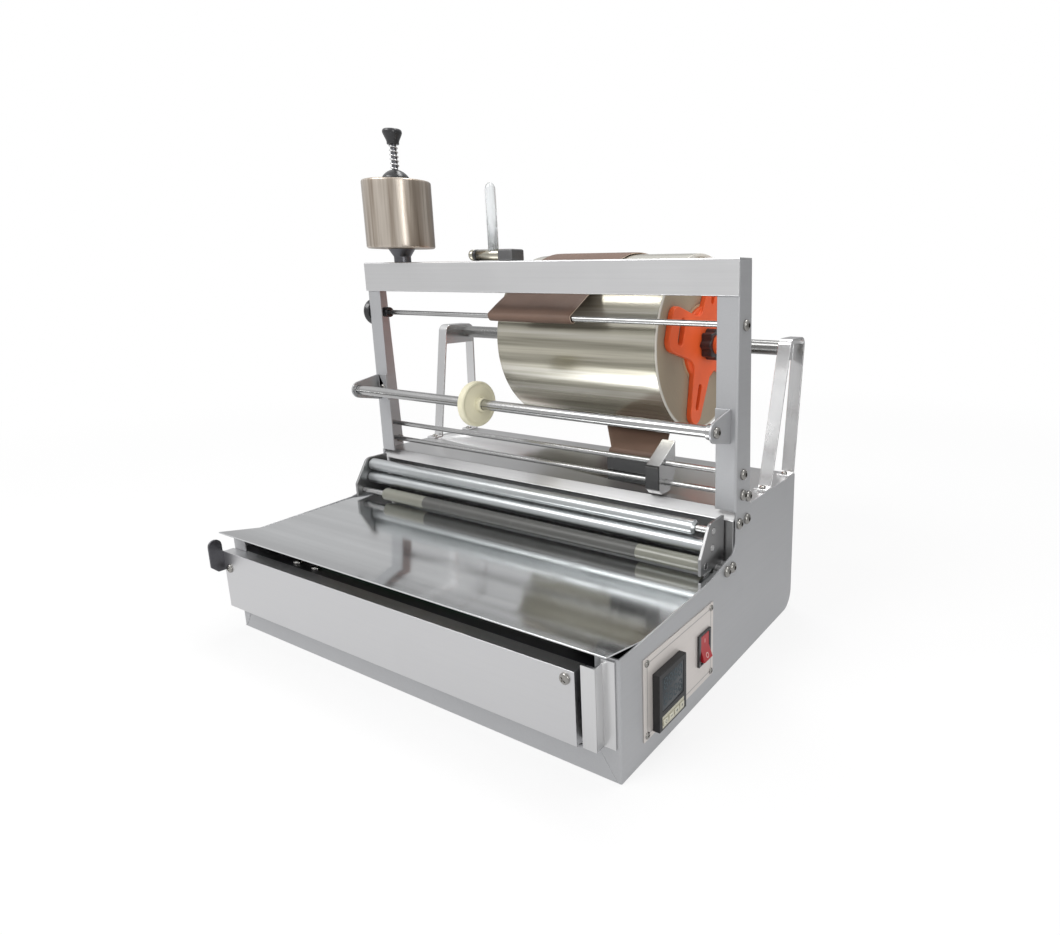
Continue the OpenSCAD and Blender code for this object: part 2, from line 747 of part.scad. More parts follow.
// Front rod on its two arms
arm_in = 6;
arm_t = 2;
arm_foot_w = 12;
arm_foot_h = 29;
arm_ring_r = 9;
arm_x1 = side_x - arm_in;
arm_x0 = arm_x1 - arm_t;
arm_foot_x = arm_x0 - arm_foot_w / 2;
rod_end_out = 2;
module rod_arm(hole_r) {
    up = atan2(arm_foot_h / 2 - arm_ring_r, front_rod_reach) + 90;
    plate = concat(arc([front_rod_y, front_rod_z], arm_ring_r, up, 360 - up, 16),
        [[leg_back, front_rod_z - arm_foot_h / 2], [leg_back, front_rod_z + arm_foot_h / 2]]);
    difference() {
        union() {
            along_x(arm_x0, arm_x1, plate);
            block(arm_x0 - arm_foot_w, arm_x1, leg_back - arm_t, leg_back, front_rod_z - arm_foot_h / 2,
                front_rod_z + arm_foot_h / 2);
        }
        rod_x(arm_x0 - over, arm_x1 + over, front_rod_y, front_rod_z, hole_r);
        translate([arm_foot_x, front_y + leg_back - arm_t - over, front_rod_z]) rotate([-90, 0, 0])
            cylinder(h = arm_t + 2 * over, r = foot_screw_r + bolt_clear);
    }
}
module left_rod_arm() { color("silver") mirror([1, 0, 0]) rod_arm(front_rod_r + run); }
module right_rod_arm() { color("silver") rod_arm(bolt_r + bolt_clear); }

module front_rod() {
    end_x = -side_x - rod_end_out;
    ring_r = 6.5;
    ring_w = 5;
    color("silver") {
        rod_x(end_x + front_rod_r, arm_x0, front_rod_y, front_rod_z, front_rod_r);
        translate([end_x + front_rod_r, front_y + front_rod_y, front_rod_z]) sphere(r = front_rod_r);
        rod_x(arm_x0 - ring_w, arm_x0, front_rod_y, front_rod_z, ring_r);
    }
}

module guide_wheel() {
    rim_r = 2;
    hub_r = 7;
    hub_out = 6;
    web = 2;
    half = wheel_w / 2;
    bore = front_rod_r + run;
    rim = concat([[bore, -half], [wheel_r - rim_r * 2, -half + web / 2]],
        arc([wheel_r - rim_r, -half + rim_r], rim_r, -90, 0),
        arc([wheel_r - rim_r, half - rim_r], rim_r, 0, 90), [[wheel_r - rim_r * 2, half - web / 2],
            [hub_r, half],
        [hub_r, half + hub_out], [bore, half + hub_out]]);
    color("beige") translate([wheel_x, front_y + front_rod_y, front_rod_z]) rotate([0, 90, 0])
        rotate_extrude() polygon(rim);
}

// Upper guide rod, bored at its left end for the stud of the knob outside
stud_r = 1.5;
stud_len = 10;
module upper_guide_rod() {
    color("silver") difference() {
        rod_x(-inner_x, inner_x, rod_y, upper_rod_z, guide_r);
        rod_x(-inner_x - over, -inner_x + stud_len, rod_y, upper_rod_z, stud_r + run);
    }
}

module rod_collar() {
    collar_w = 8;
    collar_r = 5.5;
    collar_in = 9;
    color("black") difference() {
        rod_x(-inner_x + collar_in, -inner_x + collar_in + collar_w, rod_y, upper_rod_z, collar_r);
        rod_x(-inner_x, -inner_x + collar_in + collar_w + over, rod_y, upper_rod_z, guide_r + run);
    }
}

module rod_knob() {
    knob_h = 12;
    edge = 3;
    profile = concat([[0, 0], [rod_knob_r - edge / 2, 0]], arc([rod_knob_r - edge, edge + edge / 2],
        edge, -30, 90),
        [[rod_knob_r - 2 * edge, knob_h - edge], [0, knob_h]]);
    color("black") translate([-side_x - fit, front_y + rod_y, upper_rod_z]) {
        rotate([0, -90, 0]) rotate_extrude() polygon(profile);
        rotate([0, 90, 0]) translate([0, 0, -edge]) cylinder(h = edge + fit + sheet_t + stud_len - fit,
            r = stud_r);
    }
}

module tail_guide_rods() {
    color("silver") {
        rod_x(-inner_x, inner_x, rod_y, tail_rod_z, guide_r);
        rod_x(-inner_x, inner_x, rod_y, low_rod_z, guide_r);
    }
}

// Roll brackets: bent strips that stand on the deck and carry the fixed shaft
bracket_w = 13;
bracket_t = 2;
right_loop = [-11, 23];
left_loop = [-31, 9];
loop_up = 8;
loop_r = 6;
foot_front = 50;
foot_rear = 6;
foot_len = 13;
web_drop = 13;
foot_x = side_x - bracket_w / 2;
foot_screws = [shaft_y - foot_front - foot_len / 2, shaft_y + foot_rear - foot_len / 2 - loop_r / 4];
module roll_bracket(reach) {
    front_foot = [shaft_y - foot_front, deck_h];
    rear_foot = [shaft_y + foot_rear, deck_h + bracket_t / 4];
    c0 = [shaft_y + reach[0] + loop_r, shaft_z + loop_up - loop_r];
    c1 = [shaft_y + reach[1] - loop_r, shaft_z + loop_up - loop_r];
    loop = concat(arc(c0, loop_r, 360 + tangent(front_foot, c0, loop_r, -1), 90),
        arc(c1, loop_r, 90, tangent(rear_foot, c1, loop_r, 1)));
    path = concat([front_foot - [foot_len, 0], front_foot], loop, [rear_foot]);
    low = shaft_z - web_drop;
    web = concat(shift(loop, bracket_t / 2), [at_height(rear_foot, loop[len(loop) - 1],
        low) + [bracket_t / 2, 0],
        at_height(front_foot, loop[0], low) - [bracket_t / 2, 0]]);
    x0 = side_x - bracket_w;
    difference() {
        union() {
            along_x(x0, side_x, sheet(path, bracket_t));
            along_x(x0, x0 + bracket_t, web);
            block(x0, side_x, shaft_y + foot_rear - foot_len, shaft_y + foot_rear + bracket_t / 2, deck_h,
                deck_h + bracket_t);
        }
        rod_x(x0 - over, x0 + bracket_t + over, shaft_y, shaft_z, bolt_r + bolt_clear);
        for (y = foot_screws) translate([foot_x, front_y + y, deck_h - over])
            cylinder(h = bracket_t + 2 * over, r = foot_screw_r + bolt_clear);
    }
}
module left_roll_bracket() { color("silver") mirror([1, 0, 0]) roll_bracket(left_loop); }
module right_roll_bracket() { color("silver") roll_bracket(right_loop); }

module roll_shaft() {
    end_x = side_x - bracket_w;
    color("silver") rod_x(-end_x, end_x, shaft_y, shaft_z, shaft_r);
}

// Bolts on both sides: rods, deck, cheeks, feet of the brackets and arms, and ends of the shafts
module frame_bolts() {
    color("gray") {
        both_sides() {
            for (b = rod_bolts) side_bolt(side_x, b, sheet_t);
            side_bolt(side_x, foot_bolt, sheet_t + nut_flat_h);
            rod_x(inner_x - nut_flat_h, inner_x, foot_bolt[0], foot_bolt[1], nut_flat_r);
            for (b = deck_bolts) {
                side_bolt(side_x, b, 2 * sheet_t + nut_flat_h);
                rod_x(inner_x - sheet_t - nut_flat_h, inner_x - sheet_t, b[0], b[1], nut_flat_r);
            }
            for (b = lug_bolts) side_bolt(side_x, b, sheet_t + 2 * nut_flat_h);
            side_bolt(side_x - bracket_w + bracket_t, [shaft_y, shaft_z], bracket_t);
            for (y = foot_screws) translate([foot_x, front_y + y, deck_h + bracket_t]) rotate([0, -90, 0])
                pan_screw(foot_head_r, screw_head_h, foot_screw_r, bracket_t + 2 * sheet_t);
            translate([arm_foot_x, front_y + leg_back - arm_t, front_rod_z]) rotate([0, 0, -90])
                pan_screw(foot_head_r, screw_head_h, foot_screw_r, arm_t + 2 * sheet_t);
        }
        side_bolt(side_x, [rod_y, upper_rod_z], sheet_t);
        side_bolt(arm_x1, [front_rod_y, front_rod_z], arm_t);
        translate([spindle_x, front_y + header_y, frame_h - sheet_t - spindle_nut_h]) difference() {
            cylinder(h = spindle_nut_h, r = spindle_nut_r, $fn = 6);
            translate([0, 0, -over]) cylinder(h = spindle_nut_h + 2 * over, r = spindle_r + run);
        }
        translate([post_screw_x, front_y + header_y, frame_h - sheet_t]) rotate([0, 90, 0])
            pan_screw(bolt_head_r, bolt_head_h, bolt_r, sheet_t);
    }
}
module side_bolt(x, at, length) {
    translate([x, front_y + at[0], at[1]]) pan_screw(bolt_head_r, bolt_head_h, bolt_r, length);
}

// Film roll on its core, held between two chucks that turn on the fixed shaft
roll_x0 = roll_x - roll_w / 2;
roll_x1 = roll_x + roll_w / 2;
module ring_x(x0, x1, r0, r1) {
    difference() {
        rod_x(x0, x1, shaft_y, shaft_z, r1);
        rod_x(x0 - over, x1 + over, shaft_y, shaft_z, r0);
    }
}
module film_core() { color("tan") ring_x(roll_x0, roll_x1, core_r - core_t, core_r); }
module film_roll() { color("lightgoldenrodyellow") ring_x(roll_x0, roll_x1, core_r + run, roll_r); }

chuck_hub_r = 9.5;
chuck_plug = 10;
chuck_tilt = 17;
chuck_end = 4;
long_root = 22;
long_tip_r = 11;
web_in = 16.5;
web_r = 13;
wide_half = 22;
corner_r = 11;
long_slot = [45, 65];
long_slot_w = 7;
wide_slot = 17;
wide_slot_at = 53;
wide_slot_w = 10;
chuck_out = chuck_t + fit + nut_w + chuck_end;
module slot(at, len, w) {
    translate(at) {
        translate([-len / 2, -w / 2]) square([len, w]);
        for (s = [-1, 1]) translate([s * len / 2, 0]) circle(r = w / 2);
    }
}
module chuck_half() {
    tip_x = arm_long - long_tip_r;
    translate([tip_x, 0]) circle(r = long_tip_r);
    polygon([[0, -long_root], [tip_x, -long_tip_r], [tip_x, long_tip_r], [0, long_root]]);
    translate([corner_r - wide_half, 0]) square([2 * (wide_half - corner_r), arm_wide]);
    translate([-wide_half, 0]) square([2 * wide_half, arm_wide - corner_r]);
    for (s = [-1, 1]) {
        translate([s * (wide_half - corner_r), arm_wide - corner_r]) circle(r = corner_r);
        mirror([s < 0 ? 1 : 0, 0]) translate([wide_half, web_in]) difference() {
            translate([-over, -over]) square(web_r + over);
            translate([web_r, web_r]) circle(r = web_r);
        }
    }
}
module chuck_outline() {
    difference() {
        for (turn = [0, 180]) rotate(turn) chuck_half();
        for (turn = [0, 180]) rotate(turn) {
            slot([(long_slot[0] + long_slot[1]) / 2, 0], long_slot[1] - long_slot[0], long_slot_w);
            slot([0, wide_slot_at], wide_slot, wide_slot_w);
        }
    }
}
module chuck() {
    difference() {
        union() {
            linear_extrude(chuck_t) chuck_outline();
            translate([0, 0, -chuck_plug]) cylinder(h = chuck_plug + chuck_t / 2,
                r = core_r - core_t - fit / 2);
            cylinder(h = chuck_out, r = chuck_hub_r);
        }
        translate([0, 0, -chuck_plug - over])
            cylinder(h = chuck_out + chuck_plug + 2 * over, r = shaft_r + run);
    }
}
module right_chuck() {
    color("orangered") translate([roll_x1, front_y + shaft_y, shaft_z]) rotate([0, 90, 0])
        rotate(-chuck_tilt) chuck();
}
module left_chuck() {
    color("orangered") translate([roll_x0, front_y + shaft_y, shaft_z]) rotate([0, -90, 0])
        rotate(chuck_tilt) chuck();
}

module hand_nut() {
    lobes = 8;
    lobe_d = 3;
    steps = 96;
    outline = [for (i = [0 : steps - 1]) let (a = 360 * i / steps,
        r = nut_r - lobe_d * (1 - cos(lobes * a)) / 2)
        r * [cos(a), sin(a)]];
    difference() {
        linear_extrude(nut_w) polygon(outline);
        translate([0, 0, -over]) cylinder(h = nut_w + 2 * over, r = chuck_hub_r + run);
    }
}
module right_hand_nut() {
    color("black") translate([roll_x1 + chuck_t + fit, front_y + shaft_y, shaft_z]) rotate([0, 90, 0])
        hand_nut();
}
module left_hand_nut() {
    color("black") translate([roll_x0 - chuck_t - fit, front_y + shaft_y, shaft_z]) rotate([0, -90, 0])
        hand_nut();
}

// Brake strap: looped on the upper rod, over and round the roll, and over the tail rod to its weight
strap_left = 80;
tail_right = 57;
strap_x0 = roll_x - strap_left;
tail_x0 = roll_x + tail_right;
strap_in = strap_t / 2 + fit;
rod_wrap_r = guide_r + strap_in;
roll_wrap_r = roll_r + strap_in;
weight_t = 1.5;
tail_drop = 24;
hang_y = rod_y + guide_r + 2 * fit + weight_t + strap_t / 2;
strap_end_z = tail_rod_z - tail_drop;
module brake_strap() {
    wrap_angle = 340;
    bend_r = 4;
    turns = 12;
    roll_turns = 30;
    tail_turns = 4;
    skew_start = 6;
    skew_turns = 25;
    skew_share = 0.4;
    p = [rod_y, upper_rod_z];
    c = [shaft_y, shaft_z];
    a0 = atan2(c[1] - p[1], c[0] - p[0]) + acos((rod_wrap_r - roll_wrap_r) / norm(c - p));
    path = concat(arc(p, rod_wrap_r, wrap_angle, a0, turns), arc(c, roll_wrap_r, a0, -90, roll_turns),
        arc([hang_y + bend_r, shaft_z - roll_wrap_r - bend_r], bend_r, 90, 180, tail_turns),
        [[hang_y, strap_end_z]]);
    n = bend_normals(path);
    function skew(i) = i > turns + roll_turns + 1 ? 1
        : skew_share * min(max((i - turns - skew_start) / skew_turns, 0), 1);
    rings = [for (i = [0 : len(path) - 1]) let (s = skew(i), x0 = strap_x0 + s * (tail_x0 - strap_x0),
        x1 = x0 + strap_w + s * (tail_w - strap_w),
        o = path[i] + n[i] * strap_t / 2, u = path[i] - n[i] * strap_t / 2)
        [[x0, front_y + o[0], o[1]], [x1, front_y + o[0], o[1]],
        [x1, front_y + u[0], u[1]], [x0, front_y + u[0], u[1]]]];
    color("saddlebrown") skin(rings);
}

// Folded sheet weight: a clip on the strap's end and a channel that hooks round the tail rods
module strap_weight() {
    side_out = 7;
    hook_w = 14;
    hook_front = 13;
    hook_back = 17;
    hook_rise = 17;
    front_drop = 2;
    toe = 4;
    slant = 6;
    rear_up = 12;
    x0 = tail_x0;
    x1 = tail_x0 + tail_w + side_out;
    gap = strap_t / 2 + fit;
    low = strap_end_z - toe;
    clip = [[hang_y - gap, tail_rod_z], [hang_y - gap, strap_end_z - fit], [hang_y + gap, strap_end_z - fit],
        [hang_y + gap, strap_end_z + rear_up]];
    channel = [[rod_y + hook_back, tail_rod_z + hook_rise], [rod_y - hook_front, tail_rod_z - front_drop],
        [rod_y - hook_front, low + slant], [rod_y - hook_front + slant, low], [hang_y + gap, low]];
    cheek = concat(channel, [[rod_y + hook_back, strap_end_z + rear_up]]);
    color("darkgray") difference() {
        union() {
            along_x(x0, x1, sheet(clip, -weight_t));
            along_x(x1 - hook_w, x1, sheet(channel, weight_t));
            along_x(x1 - weight_t, x1, cheek);
        }
        for (z = [tail_rod_z, low_rod_z]) rod_x(x1 - weight_t - over, x1 + over, rod_y, z, guide_r + fit);
    }
}

// Tear tape spindle on the header
collar_r = 8.5;
collar_h = 6;
cone_h = 8;
cone_r = 13.5;
core_bore_r = 10;
tape_core_t = 4;
plug_h = 4;
stud_down = 10;
upper_cone_h = 10.5;
tip_r = 4.5;
knob_h = 15;
knob_depth = 12;
tape_z = frame_h + collar_h + cone_h + fit;
cone_z = tape_z + spool_h + fit;
spring_z = cone_z + upper_cone_h;
knob_z = spring_z + spring_h;
module on_spindle(z) {
    translate([spindle_x, front_y + header_y, z]) children();
}
module tape_spindle() {
    top = knob_z + knob_depth - fit;
    color("dimgray") on_spindle(0) rotate_extrude() polygon([[0, frame_h - stud_down],
        [spindle_r, frame_h - stud_down],
        [spindle_r, frame_h], [collar_r, frame_h], [collar_r, frame_h + collar_h],
            [cone_r, frame_h + collar_h + cone_h],
        [core_bore_r - fit, frame_h + collar_h + cone_h],
            [core_bore_r - fit, frame_h + collar_h + cone_h + plug_h],
        [spindle_r, frame_h + collar_h + cone_h + plug_h + fit], [spindle_r, top], [0, top]]);
}
module upright_ring(z, h, r0, r1) {
    on_spindle(z) difference() {
        cylinder(h = h, r = r1);
        translate([0, 0, -over]) cylinder(h = h + 2 * over, r = r0);
    }
}
module tape_core() { color("tan") upright_ring(tape_z, spool_h, core_bore_r, core_bore_r + tape_core_t); }
module tape_spool() { color("gainsboro") upright_ring(tape_z, spool_h, core_bore_r + tape_core_t + run,
    spool_r); }
module spindle_cone() {
    plug = 3;
    brim = 1.5;
    bore = spindle_r + run;
    color("black") on_spindle(cone_z) rotate_extrude() polygon([[bore, -plug], [core_bore_r - fit, -plug],
        [core_bore_r - fit, 0], [cone_r, 0], [cone_r, brim], [tip_r, upper_cone_h - brim],
            [tip_r, upper_cone_h],
        [bore, upper_cone_h]]);
}

// Coil spring between the cone and the knob, with a straight end on each
module spindle_spring() {
    lead = 2 * wire_r;
    coil_r = tip_r - wire_r;
    rise = spring_h - 2 * lead;
    n = 8;
    count = spring_turns * n;
    coil = [for (i = [0 : count]) [coil_r * cos(360 * i / n), coil_r * sin(360 * i / n),
        lead + rise * i / count]];
    path = concat([[coil_r, 0, 0]], coil, [[coil_r, 0, spring_h]]);
    least = min([for (i = [0 : count]) for (j = [i + n / 2 : 1 : count])
        norm(coil[i] - coil[j])]) - 2 * wire_r;
    echo(spring_gap = least);
    color("silver") on_spindle(spring_z) skin([for (i = [0 : len(path) - 1])
        let (d = i < 2 ? [0, 0.6, 1] : i > count ? [0, 0.6, 1] : path[i + 1] - path[i - 1],
            e = i == 0 || i == count + 2 ? [0, 0, 1] : d)
        cross_ring(path[i], e, [path[i][0], path[i][1], 0], wire_r, 6)]);
}
module spindle_knob() {
    foot_r = 5;
    head_r = 9.5;
    head_h = 4;
    bore = spindle_r + run;
    color("black") on_spindle(knob_z) rotate_extrude() polygon(concat([[bore, 0], [foot_r, 0],
        [foot_r, head_h / 2],
        [head_r, knob_h - head_h]], arc([head_r - head_h / 2, knob_h - head_h / 2], head_h / 2, 0, 90),
        [[0, knob_h], [0, knob_depth], [bore, knob_depth]]));
}

// Clear guide post on a pin that turns in its block
barrel_r = 5.5;
barrel_lift = 6;
pin_in = 13;
post_pin_r = 2.5;
barrel_z = frame_h + barrel_lift;
module guide_post() {
    barrel_out = 31;
    base_up = barrel_r / 2;
    color("white") {
        rod_x(post_x - barrel_out, post_x + post_side, header_y, barrel_z, barrel_r);
        rod_x(post_x, block_x0 + pin_in, header_y, barrel_z, post_pin_r);
        translate([post_x, front_y + header_y, barrel_z + base_up])
            cylinder(h = post_h - base_up - post_r, r = post_r);
        translate([post_x, front_y + header_y, barrel_z + post_h - post_r]) sphere(r = post_r);
    }
}
module post_block() {
    block_h = 11;
    half_d = 9;
    color("gray") difference() {
        block(block_x0, block_x0 + block_len, header_y - half_d, header_y + half_d, frame_h,
            frame_h + block_h);
        rod_x(block_x0 - over, block_x0 + pin_in + fit, header_y, barrel_z, post_pin_r + run);
    }
}

// Three rollers on fixed axles between two cheeks
cheek_in = 9;
cheek_x1 = side_x - cheek_in;
cheek_x0 = cheek_x1 - cheek_t;
roller_gap = 1;
roller_end = cheek_x0 - roller_gap;
upper_back = 23;
upper_up = 34;
middle_back = 25;
middle_up = 20;
lower_back = 36;
lower_up = 8;
short_end = 12;
upper_at = [leg_back - upper_back, table_h + upper_up];
middle_at = [leg_back - middle_back, table_h + middle_up];
lower_at = [leg_back - lower_back, table_h + lower_up];
module roller(x0, x1, at, r, chamfer) {
    bore = axle_r + run;
    translate([x0, front_y + at[0], at[1]]) rotate([0, 90, 0]) rotate_extrude()
        polygon([[bore, 0], [r, 0], [r, x1 - x0 - chamfer], [r - chamfer, x1 - x0], [bore, x1 - x0]]);
}
upper_chamfer = 2.5;
middle_chamfer = 0.5;
lower_chamfer = 0.2;
lower_in = 36;
lower_x0 = lower_in + sleeve_w - roller_end;
lower_x1 = roller_end - sleeve_w;
module upper_roller() {
    color("silver") roller(-roller_end, roller_end - short_end, upper_at, roller_r, upper_chamfer);
}
module middle_roller() { color("silver") roller(-roller_end, roller_end, middle_at, roller_r,
    middle_chamfer); }
module lower_roller() { color("dimgray") roller(lower_x0, lower_x1, lower_at, roller_r, lower_chamfer); }
module roller_sleeves() {
    color("beige") {
        roller(lower_x1, roller_end, lower_at, roller_r, lower_chamfer);
        roller(lower_x0 - sleeve_w, lower_x0, lower_at, roller_r, lower_chamfer);
    }
}
module roller_axles() {
    color("silver") for (at = [upper_at, middle_at, lower_at]) rod_x(-cheek_x1, cheek_x1, at[0], at[1],
        axle_r);
}
module roller_cheeks() {
    front_r = 8;
    cheek_low = 7;
    front_in = 9;
    rear_in = 4;
    clear = 1;
    front = lower_at[0] - front_in;
    rear = leg_back - wall_gap - rear_in / 2;
    step = table_end + clear;
    top = upper_at[1] + front_r;
    outline = concat([[front, table_h + 2 * clear], [step, table_h + 2 * clear],
        [step, table_h - cheek_low],
        [rear, table_h - cheek_low], [rear, top]],
        arc([upper_at[0] - 2 * clear, top - front_r], front_r, 90, 160), [[front, lower_at[1] + front_r]]);
    color("gray") both_sides() difference() {
        union() {
            along_x(cheek_x0, cheek_x1, outline);
            for (b = lug_bolts) rod_x(cheek_x1 - clear, inner_x, b[0], b[1], nut_flat_r);
        }
        for (at = [upper_at, middle_at, lower_at]) rod_x(cheek_x0 - over, cheek_x1 + over, at[0],
            at[1], axle_r + run);
        for (b = lug_bolts) rod_x(inner_x - 3 * nut_flat_h, inner_x + over, b[0], b[1],
            bolt_r + bolt_clear);
    }
}

right_side_panel();
left_side_panel();
base_tray();
rear_deck();
work_table();
front_cover();
cover_screws();
left_end_tab();
right_end_bracket();
inner_crossbar();
heater_plate();
heater_insulation();
heater_screws();
heater_wires();
terminal_block();
cable_gland();
control_plate();
plate_screws();
temperature_controller();
controller_key_1();
controller_key_2();
controller_key_3();
controller_key_4();
switch_bezel();
switch_rocker();
header_beam();
frame_bolts();
upper_guide_rod();
rod_collar();
rod_knob();
front_rod();
left_rod_arm();
right_rod_arm();
guide_wheel();
tail_guide_rods();
left_roll_bracket();
right_roll_bracket();
roll_shaft();
film_core();
film_roll();
left_chuck();
right_chuck();
left_hand_nut();
right_hand_nut();
brake_strap();
strap_weight();
tape_spindle();
tape_core();
tape_spool();
spindle_cone();
spindle_spring();
spindle_knob();
guide_post();
post_block();
upper_roller();
middle_roller();
lower_roller();
roller_sleeves();
roller_axles();
roller_cheeks();
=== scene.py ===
# Looks of a cellophane overwrapping machine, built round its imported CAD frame
import json
import math
import bmesh
import bpy
from mathutils import Matrix, Vector


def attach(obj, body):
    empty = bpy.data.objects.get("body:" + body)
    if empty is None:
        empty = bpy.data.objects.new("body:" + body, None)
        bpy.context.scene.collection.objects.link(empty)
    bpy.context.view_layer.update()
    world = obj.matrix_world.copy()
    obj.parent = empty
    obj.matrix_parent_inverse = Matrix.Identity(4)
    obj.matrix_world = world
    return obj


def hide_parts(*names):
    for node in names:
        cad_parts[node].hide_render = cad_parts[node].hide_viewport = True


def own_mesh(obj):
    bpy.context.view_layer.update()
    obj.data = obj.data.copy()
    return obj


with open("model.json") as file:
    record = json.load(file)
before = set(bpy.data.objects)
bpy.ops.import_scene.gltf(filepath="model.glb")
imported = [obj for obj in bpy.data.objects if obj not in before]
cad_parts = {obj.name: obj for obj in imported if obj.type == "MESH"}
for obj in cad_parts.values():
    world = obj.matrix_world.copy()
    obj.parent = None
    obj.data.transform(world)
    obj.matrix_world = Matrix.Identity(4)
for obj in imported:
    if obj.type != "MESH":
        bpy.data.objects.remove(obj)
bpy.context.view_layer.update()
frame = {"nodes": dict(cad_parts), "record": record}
cadNodes = frame["nodes"]
bodies = frame["record"]["behaviour"]["bodies"]
bodyOf = {node: body for body, members in bodies.items() for node in members}
slotOf = {part["node"]: part["material_slot"] for part in frame["record"]["subparts"]}
mm = 0.001
frontPosts = 155      # depths below are counted from the front posts, in mm
spindleAt = (-177, 184)      # tape spindle: across, back
tapeMiddle = 398.3      # height of the tape spool's middle
rollCentre = (25, 300, 268)      # middle of the film roll: across, back, up
upperRodAt = (185, 297)      # upper guide rod: back, up
sideReach = 225      # outer faces of the side panels
print("frame loaded:", len(cadNodes), "nodes")


def place(x, back, height):      # millimetres in the machine's own terms to a point of the row frame
    return Vector((x, back - frontPosts, height)) * mm


def backOf(point):      # depth of a point from the front posts, in mm
    return point.y / mm + frontPosts


def onSpindle(height):
    return place(*spindleAt, height)


def linked(name, data):      # a new object in the scene
    made = bpy.data.objects.new(name, data)
    bpy.context.scene.collection.objects.link(made)
    return made


# Studio: camera, floor, world and lamps

cameraView = {"at": (0.464, -0.490, 0.3354), "turn": 29.79, "tilt": -12.59, "lens": 23.77, "sensor": 36,
              "shift": (-0.1439, -0.0327), "clip": (0.02, 60)}
lamps = {
    "keyLamp": {"at": (-0.9, -1.5, 1.9), "aim": (0, 0.05, 0.15), "size": (1.5, 1.0), "power": 30},
    "topLamp": {"at": (0.1, 0.5, 1.9), "aim": (0, 0.1, 0.1), "size": (1.6, 0.5), "power": 16},
    "sideLamp": {"at": (1.8, -0.9, 0.75), "aim": (0.1, 0.1, 0.15), "size": (0.35, 1.3), "power": 8},
}
studio = {"floorSize": 8, "floorDrop": 0.0004, "floorTone": 0.86, "floorGlow": 0.8, "fade": (0.6, 1.7),
          "nearSheen": (0.86, 0.86, 0.87), "farSheen": (0.3, 0.3, 0.3), "mirrorGlow": 0.85,
          "glossLow": 0.34, "glossLift": 0.4, "glossFront": 0.3, "fill": 0.52}
white = (1, 1, 1)


def setStudio():
    lens = bpy.data.cameras.new("photoCamera")
    lens.sensor_fit = "HORIZONTAL"
    lens.sensor_width, lens.lens = cameraView["sensor"], cameraView["lens"]
    lens.shift_x, lens.shift_y = cameraView["shift"]
    lens.clip_start, lens.clip_end = cameraView["clip"]
    camera = linked("photoCamera", lens)
    turn, tilt = math.radians(cameraView["turn"]), math.radians(cameraView["tilt"])
    look = Vector((-math.sin(turn) * math.cos(tilt), math.cos(turn) * math.cos(tilt), math.sin(tilt)))
    camera.location = cameraView["at"]
    camera.rotation_euler = look.to_track_quat("-Z", "Y").to_euler()
    bpy.context.scene.camera = camera
    for name, s in lamps.items():
        light = bpy.data.lights.new(name, "AREA")
        light.shape = "RECTANGLE"
        light.size, light.size_y = s["size"]
        light.energy = s["power"]
        lamp = linked(name, light)
        lamp.location = s["at"]
        lamp.rotation_euler = (Vector(s["aim"]) - Vector(s["at"])).to_track_quat("-Z", "Y").to_euler()
    bpy.context.scene.view_settings.view_transform = "Standard"


# Node building: a wire is an output that takes + - * and ** like a number

class Wire:
    def __init__(self, graph, socket):
        self.graph, self.socket = graph, socket

    def op(self, operation, *values):
        return self.graph.add("ShaderNodeMath", {"operation": operation}, dict(enumerate(values)))

    def __add__(self, other):
        return self.op("ADD", self, other)

    def __radd__(self, other):
        return self.op("ADD", other, self)

    def __sub__(self, other):
        return self.op("SUBTRACT", self, other)

    def __rsub__(self, other):
        return self.op("SUBTRACT", other, self)

    def __mul__(self, other):
        return self.op("MULTIPLY", self, other)

    def __rmul__(self, other):
        return self.op("MULTIPLY", other, self)

    def __pow__(self, other):
        return self.op("POWER", self, other)

    def __abs__(self):
        return self.op("ABSOLUTE", self)

    def clipped(self):
        return self.op("MINIMUM", self.op("MAXIMUM", self, 0.0), 1.0)


